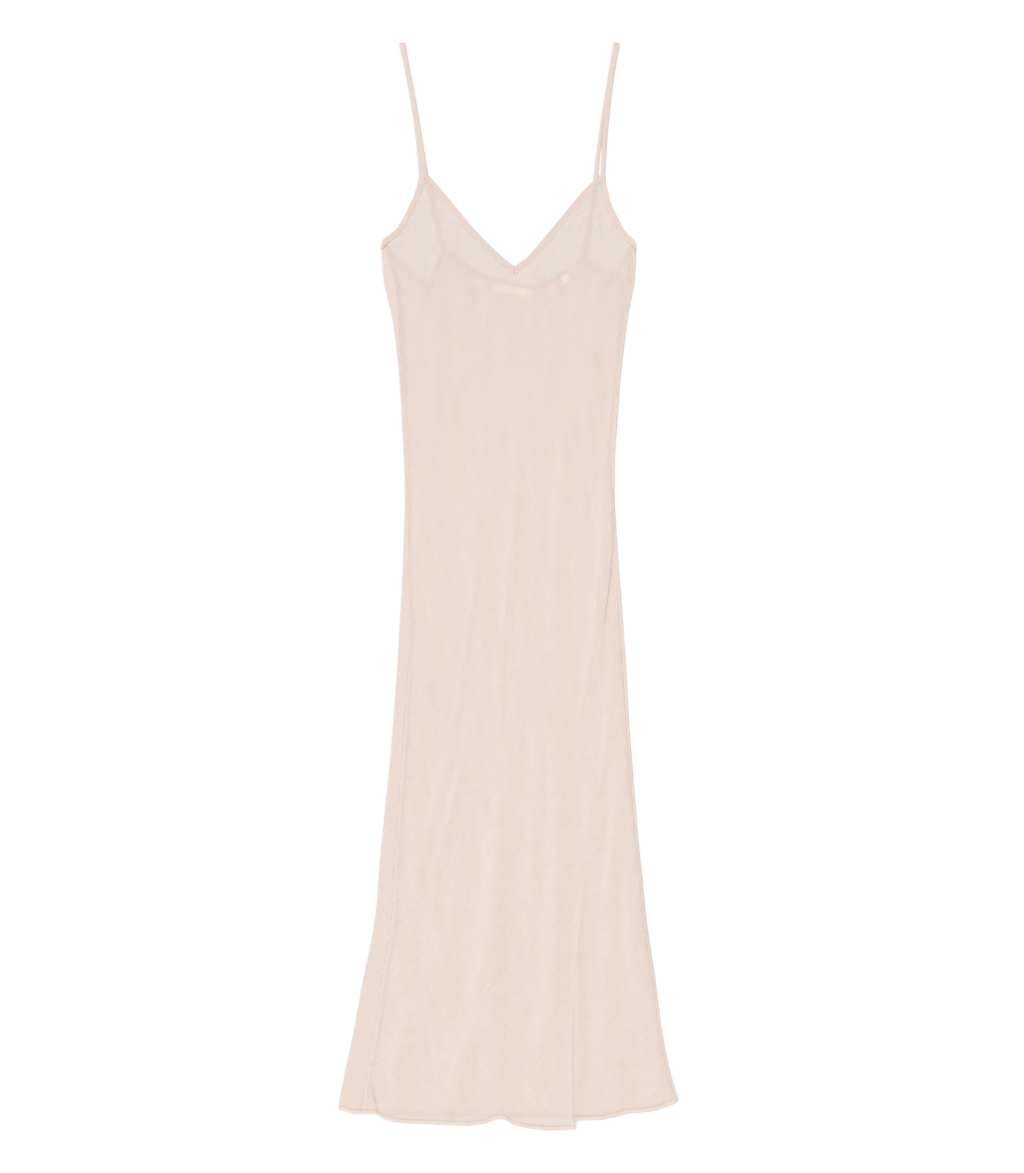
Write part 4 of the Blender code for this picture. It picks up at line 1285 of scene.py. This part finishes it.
BINDING_PROFILE = np.array([
    (0.0, 0.0), (0.1, 0.22), (0.5, 0.38), (1.3, 0.46), (2.3, 0.42), (3.0, 0.28), (3.4, 0.18),
    (3.8, 0.26), (4.6, 0.31), (5.5, 0.27), (6.2, 0.21), (6.8, 0.14), (7.0, 0.04), (6.8, -0.12),
    (4.6, -0.16), (2.0, -0.16), (0.4, -0.14),
])
STITCH_ACROSS = 3.4  # from the edge to the stitch line
STITCH_UP = 0.16
HIGHLIGHT_LINE_ACROSS = 7.5  # from the edge to the painted highlight line beside the neck's binding
HIGHLIGHT_LINE_RADIUS = 0.42
HIGHLIGHT_LINE_LEFT_OUT = 7  # points at either end
UNDERARM_STRAIGHT = 453.0  # below this the armholes' inner edges run straight to the underarms
UNDERARM_END = (164.0, 437.8)

# Painted shade: short dark lines in the grooves where a binding's inner edge is sewn down at its
# ends, and in the
# fold where the hem is pinched: the line's radius, and points of its line
PAINTED_SHADE_LINES = {
    "underarm_painted_shade_left": (0.22, (-153.6, 447.4), (-158.5, 443.4), (-164.2, 438.6)),
    "underarm_painted_shade_right": (0.22, (154.6, 447.6), (159.4, 443.4), (164.2, 438.4)),
    "apex_painted_shade_left": (0.28, (-112.4, 530.2), (-106.0, 527.2), (-100.6, 520.6), (-96.4, 515.0)),
    "apex_painted_shade_right": (0.28, (117.6, 526.6), (112.4, 521.8), (107.6, 516.0)),
    "hem_pinch_painted_shade": (0.6, (-176.2, -651.0), (-173.8, -666.0), (-170.0, -683.0)),
}
PAINTED_SHADE_UP = 0.2


def straightened(line, near, axis, start, end, target):
    """Inner edge of a binding, which runs straight from one of its points to a target."""
    inner = inward(line, BINDING_WIDTH)
    share = (line[near, axis] - line[start, axis]) / (line[end, axis] - line[start, axis])
    inner[near] = inner[start] + share[:, None] * (np.array(target) - inner[start])
    return inner


def neck_inner_edge(line):
    near = np.flatnonzero(np.abs(line[:, 0] - NECK_POINT_X) < NECK_POINT_ROUND)
    start, end = (near[0], near[-1]) if near[-1] == len(line) - 1 else (near[-1], near[0])
    return straightened(line, near, 0, start, end, (NECK_POINT_X, NECK_SEAM_Y))


def armhole_inner_edge(line):
    near = np.flatnonzero(line[:, 1] < UNDERARM_STRAIGHT)
    start, end = (near[-1], near[0]) if near[0] == 0 else (near[0], near[-1])
    corner = (math.copysign(UNDERARM_END[0], line[end, 0]), UNDERARM_END[1])
    return straightened(line, near, 1, start, end, corner)


def make_front_binding(name, node, line, inner):
    """A binding between its outer and inner edges; returns its line, steps across and widths."""
    outer_z, inner_z = (
        np.maximum(front_height(edge[:, 0], edge[:, 1]), BINDING_LEAST_LEVEL)
        for edge in (line, inner)
    )
    across = np.column_stack([inner - line, inner_z - outer_z])
    line = np.column_stack([line, outer_z])
    width = np.linalg.norm(across, axis=1)
    across /= width[:, None]
    up = np.tile([0.0, 0.0, 1.0], (len(line), 1))
    widths = width / BINDING_WIDTH
    belongs(sweep(name, line, BINDING_PROFILE, TRIM, across, up, widths), "trim", node)
    return line, across, width


def painted_line(name, line, radius, material):
    """A thin raised line, for painted highlights and painted shadows."""
    turn = np.linspace(0, 2 * math.pi, 8, endpoint=False)
    loop = radius * np.column_stack([np.cos(turn), 0.25 * np.sin(turn)])
    return belongs(sweep(name, line, loop, material), "trim")


FRONT_BINDINGS = (
    ("neck_binding_left_cloth", "neck_binding_left", NECK_LEFT),
    ("neck_binding_right_cloth", "neck_binding_right", NECK_RIGHT),
    ("front_armhole_left_cloth", "front_armhole_binding_left", ARMHOLE_LEFT),
    ("front_armhole_right_cloth", "front_armhole_binding_right", ARMHOLE_RIGHT),
)


def make_front_bindings():
    stitch_lines = []
    for name, node, edge in FRONT_BINDINGS:
        line = smooth_line(points(edge), LINE_SPACING)
        at_neck = node.startswith("neck")
        inner = neck_inner_edge(line) if at_neck else armhole_inner_edge(line)
        line, across, width = make_front_binding(name, node, line, inner)
        stitched = line + across * (width * STITCH_ACROSS / BINDING_WIDTH)[:, None]
        stitch_lines.append(stitched + (0, 0, STITCH_UP))
        if at_neck:
            side = node.split("_")[-1]
            # Painted highlight: a pale line on the cloth beside the neck's binding stands in for
            # the light along its inner edge.
            beside = line + across * (width + HIGHLIGHT_LINE_ACROSS - BINDING_WIDTH)[:, None]
            beside = beside[HIGHLIGHT_LINE_LEFT_OUT:-HIGHLIGHT_LINE_LEFT_OUT]
            beside[:, 2] = front_height(beside[:, 0], beside[:, 1]) + CLOTH_WALL / 2
            painted_line("neck_painted_highlight_" + side, beside, HIGHLIGHT_LINE_RADIUS, PAINTED_LIGHT_THREAD)
    belongs(stitches("front_binding_stitches", stitch_lines, THREAD), "trim")
    # Painted shade: dark lines in the grooves at the bindings' ends and at the pinched hem.
    for name, (radius, *corners) in PAINTED_SHADE_LINES.items():
        line = smooth_line(corners, 1.0)
        line = np.column_stack([line, front_height(line[:, 0], line[:, 1]) + PAINTED_SHADE_UP])
        painted_line(name, line, radius, PAINTED_SHADE)


def paint_light_behind_front(piece, below=math.inf, inside_seams=None):
    """The faces that lie behind the front, and face it, are paler: painted light, from the paler
    trim material.
    """
    piece.data.materials.append(PAINTED_LIGHT_TRIM)
    for face in piece.data.polygons:
        x, y, _ = face.center / MM
        if inside_seams is not None:
            if not seam_x("left", y) + inside_seams < x < seam_x("right", y) - inside_seams:
                continue
        if face.normal.z > 0.2 and y < below:
            face.material_index = 1


BACK_BINDING_FLATNESS = 0.65
SLANT_END, SLANT_LENGTH, SLANT_LEAST = 163.8, 9.0, 0.2  # of the bindings' ends at the underarms


def make_back_binding(name, node, line, widths=None):
    """One of the back's bindings; returns its line of stitches."""
    stitched = np.column_stack([
        inward(line, STITCH_ACROSS), np.full(len(line), BACK_BINDING_LEVEL) + STITCH_UP
    ])
    line = np.column_stack([line, np.full(len(line), BACK_BINDING_LEVEL)])
    profile = BINDING_PROFILE * (1, BACK_BINDING_FLATNESS)
    piece = sweep(name, line, profile, TRIM, widths=widths)
    # Painted light: the binding's faces under the front are paler.
    paint_light_behind_front(piece)
    belongs(piece, "trim", node)
    return stitched


def make_back_bindings():
    lines = []
    for side, edge, notch in (
        ("left", BACK_ARMHOLE_LEFT, LEFT_NOTCH),
        ("right", BACK_ARMHOLE_RIGHT, RIGHT_NOTCH),
    ):
        corners = points(edge)
        before = smooth_line(corners[: notch + 1], LINE_SPACING)
        line = np.vstack([before, smooth_line(corners[notch:], LINE_SPACING)[1:]])
        widths = SLANT_LEAST + (SLANT_END - np.abs(line[:, 0])) / SLANT_LENGTH
        name, node = "back_armhole_" + side + "_cloth", "back_armhole_binding_" + side
        lines.append(make_back_binding(name, node, line, np.clip(widths, SLANT_LEAST, 1)))
    neck = smooth_line(points(BACK_NECK), LINE_SPACING)
    lines.append(make_back_binding("back_neck_cloth", "back_neck_binding", neck))
    # These stitches lie behind the front, so their thread is paler: painted light.
    belongs(stitches("back_binding_stitches", lines, PAINTED_LIGHT_THREAD), "trim")


HEM_PROFILE = table(
    "distance  top   bottom",
    (0.0, 0.0, 0.0),
    (0.15, 0.22, 0.22),
    (0.7, 0.36, 0.34),
    (1.6, 0.4, 0.36),
    (2.6, 0.36, 0.34),
    (3.3, 0.24, 0.3),
    (3.7, 0.25, 0.26),
    (4.2, 0.19, 0.18),
    (4.7, 0.12, 0.08),
)
HEM_STITCH_ROW = 5


def make_hem(name, node, row_at):
    """A rolled hem: row_at gives the points of the cloth at a distance above its bottom edge."""
    rows = np.array([row_at(distance) for distance in HEM_PROFILE["distance"]])
    along = np.gradient(rows, axis=1)
    across = np.gradient(rows, axis=0)
    normals = unit(np.cross(along, across))
    top = rows + normals * HEM_PROFILE["top"][:, None, None]
    bottom = rows - normals * HEM_PROFILE["bottom"][:, None, None]
    bottom[..., 2] = np.maximum(bottom[..., 2], 0.02)
    loop = np.concatenate([top, bottom[::-1][1:-1]])
    along, around = run_length(rows[0])[:, None], np.arange(len(loop))[None] * 0.6
    thread = np.stack(np.broadcast_arrays(along, around), axis=2)
    piece = belongs(tube(name, loop.transpose(1, 0, 2), thread, HEM), "trim", node)
    return piece, top[HEM_STITCH_ROW]


def make_hems():
    front_y, back_y = front_hem_y(), back_hem_y()
    _, front_line = make_hem(
        "front_hem_cloth", "front_hem", lambda d: front_points(np.array([front_y + d]))[0]
    )
    back, back_line = make_hem(
        "back_hem_cloth", "back_hem", lambda d: back_rows_at(np.vstack([back_y + d, back_y - 1]))[0]
    )
    # Painted light: the back hem's faces under the front, inside the seams, are paler.
    paint_light_behind_front(back, inside_seams=1.5)
    belongs(stitches("front_hem_stitches", [front_line], THREAD), "trim")
    # The back hem's stitches lie behind the front, so their thread is paler: painted light.
    belongs(stitches("back_hem_stitches", [back_line], PAINTED_LIGHT_THREAD), "trim")


# ---------------------------------------------------------------- straps, rings and tabs

def flat_tube_profile(width, height):
    """Section of a turned strap: flat, with round sides."""
    half, radius = width / 2, height / 2
    angle = np.linspace(-math.pi / 2, math.pi / 2, 5)
    right = np.column_stack([half - radius + radius * np.cos(angle), radius * np.sin(angle)])
    top = np.array([(half * 0.5, radius * 1.06), (0, radius * 0.96), (-half * 0.5, radius * 1.06)])
    left = -right
    return np.vstack([right, top, left, [(0, -radius)]])


def make_strap(side_name, front, back):
    """One strap: up from the front joint, over its fold and down to the ring."""
    low = STRAP_BACK_LEVEL
    radius = (STRAP_FRONT_LEVEL - low) / 2
    up, down = points(front), points(back)
    levels = np.interp(up[:, 1], STRAP_RISE_Y, (STRAP_RISE_LEVEL, STRAP_FRONT_LEVEL))
    line = [(x, y, z, w) for (x, y), z, w in zip(up, levels, front["width"])]
    direction = (up[-1] - up[-2]) / np.linalg.norm(up[-1] - up[-2])
    for angle in (30, 60, 90, 120, 150):
        out = radius * math.sin(math.radians(angle)) * direction
        level = low + radius * (1 + math.cos(math.radians(angle)))
        line.append((*(up[-1] + out), level, front["width"][-1]))
    line += [(x, y, low, width) for (x, y), width in zip(down, back["width"])]
    fine = smooth_line(line, STRAP_SPACING)
    fine, widths = fine[:, :3], fine[:, 3] / STRAP_WIDTH
    ahead = np.gradient(fine[:, :2], axis=0)
    ahead *= np.where(ahead[:, 1:] < 0, -1, 1)
    near_fold = np.abs(fine[:, 1] - fine[:, 1].max()) < STRAP_FOLD_REACH
    ahead[near_fold] = direction
    ahead = unit(ahead)
    side = np.column_stack([ahead[:, 1], -ahead[:, 0], np.zeros(len(ahead))])
    up_vector = np.cross(side, unit(np.gradient(fine, axis=0)))
    profile = flat_tube_profile(STRAP_WIDTH, STRAP_THICKNESS)
    name = "strap_" + side_name + "_cloth"
    piece = sweep(name, fine, profile, STRAP, side, up_vector, widths)
    # Painted light: the strap's faces under the front, up to where it comes out, are paler.
    paint_light_behind_front(piece, min(down[-1][1] + STRAP_UNDER_FRONT, HIGHEST_UNDER_FRONT))
    return belongs(piece, "trim", "strap_" + side_name)


def make_ring(side_name, centre):
    bpy.ops.mesh.primitive_torus_add(
        major_radius=RING_RADIUS * MM,
        minor_radius=RING_WIRE_RADIUS * MM,
        major_segments=48,
        minor_segments=16,
        location=(centre[0] * MM, centre[1] * MM, RING_WIRE_RADIUS * MM),
    )
    ring = bpy.context.object
    ring.name = "ring_" + side_name
    ring.data.shade_smooth()
    ring.data.materials.append(RING)
    return belongs(ring, "ring", "strap_ring_" + side_name)


def make_tab(side_name, edge):
    line = smooth_line(points(edge), 1.5)
    line = np.column_stack([line, np.full(len(line), STRAP_BACK_LEVEL)])
    profile = flat_tube_profile(TAB_WIDTH, STRAP_THICKNESS)
    piece = sweep("tab_" + side_name + "_cloth", line, profile, STRAP)
    # Painted light: the tab lies under the front, so its upper faces are paler.
    paint_light_behind_front(piece)
    return belongs(piece, "trim", "back_tab_" + side_name)


# ---------------------------------------------------------------- labels

def make_label(name, node, label, material, stitched_ends):
    """A bare woven label, slightly curved, with its ends sewn down."""
    length, width = label["length"], label["width"]
    c, s = math.cos(math.radians(label["turn"])), math.sin(math.radians(label["turn"]))

    def placed(u, v, z):
        x, y = label["x"] + u * c - v * s, label["y"] + u * s + v * c
        return np.stack(np.broadcast_arrays(x, y, z), axis=-1)

    u = np.linspace(-length / 2, length / 2, max(6, int(length / LABEL_SPACING)))
    v = np.linspace(-width / 2, width / 2, max(5, int(width / LABEL_SPACING)))
    u, v = np.meshgrid(u, v)
    wave = np.cos(u / length * 2 * math.pi * 1.5) * np.cos(v / width * math.pi)
    grid = placed(u, v, LABEL_HEIGHT + LABEL_WAVE * wave)
    quads = grid_faces(np.arange(u.size).reshape(u.shape))
    thread = np.column_stack([u.ravel(), v.ravel()])
    piece = shell(name, grid.reshape(-1, 3), quads, [material], thread, LABEL_WALL)
    belongs(piece, "label", node)
    from_end, half_gap, at_side = LABEL_STITCHES
    across = np.linspace(-width / 2 + at_side, width / 2 - at_side, 12)
    lines = [
        placed(end * (length / 2 - from_end) + offset, across, LABEL_HEIGHT + 0.1)
        for end in stitched_ends
        for offset in (-half_gap, half_gap)
    ]
    belongs(stitches(name + "_stitches", lines, LABEL_THREAD, pitch=1.2, length=0.9), "label")


# ---------------------------------------------------------------- making the dress

front = make_front()
back = make_back()
make_front_bindings()
make_back_bindings()
make_hems()
make_strap("left", STRAP_LEFT_FRONT, STRAP_LEFT_BACK)
make_strap("right", STRAP_RIGHT_FRONT, STRAP_RIGHT_BACK)
make_ring("left", LEFT_RING)
make_ring("right", RIGHT_RING)
make_tab("left", LEFT_TAB)
make_tab("right", RIGHT_TAB)
make_label("neck_label_tape", "neck_label", NECK_LABEL, LABEL, (-1, 1))
make_label("size_label_tape", "size_label", SIZE_LABEL, WHITE_LABEL, (1,))

# ---------------------------------------------------------------- floor, light and camera

PHOTO_WIDTH, PHOTO_HEIGHT = 1024, 1173
MM_PER_PIXEL = 1.3
PHOTO_MIDDLE = (4.55, -0.98)  # where the middle of the photograph's frame falls on the surface
CAMERA_DISTANCE = 4000.0


def make_floor():
    bpy.ops.mesh.primitive_plane_add(size=12, location=(0, 0, -0.0002))
    floor = bpy.context.object
    floor.name = "floor"
    material = shader_tree("pale_floor", (0.80, 0.80, 0.80), 0.9, specular=0.1)[0]
    floor.data.materials.append(material)


def make_soft_sun(name, towards_light, strength, softness):
    """Light from one direction; softness is the angle that its source fills."""
    data = bpy.data.lights.new(name, "SUN")
    data.energy = strength
    data.angle = math.radians(softness)
    light = bpy.data.objects.new(name, data)
    light.rotation_euler = Vector(towards_light).to_track_quat("Z", "Y").to_euler()
    bpy.context.scene.collection.objects.link(light)


def make_world(strength):
    world = bpy.data.worlds.new("soft_dome")
    world.use_nodes = True
    background = world.node_tree.nodes["Background"]
    background.inputs["Color"].default_value = (1, 1, 1, 1)
    background.inputs["Strength"].default_value = strength
    bpy.context.scene.world = world


def make_camera():
    data = bpy.data.cameras.new("camera")
    data.sensor_fit = "VERTICAL"
    data.sensor_height = 24.0
    data.lens = data.sensor_height * CAMERA_DISTANCE / (PHOTO_HEIGHT * MM_PER_PIXEL)
    data.clip_end = 50
    camera = bpy.data.objects.new("camera", data)
    camera.location = (PHOTO_MIDDLE[0] * MM, PHOTO_MIDDLE[1] * MM, CAMERA_DISTANCE * MM)
    bpy.context.scene.collection.objects.link(camera)
    bpy.context.scene.camera = camera


make_floor()
make_world(1.085)
make_soft_sun("key", (-0.5, 0.2, 0.84), 0.93, 20)
make_camera()
bpy.context.scene.view_settings.view_transform = "Standard"
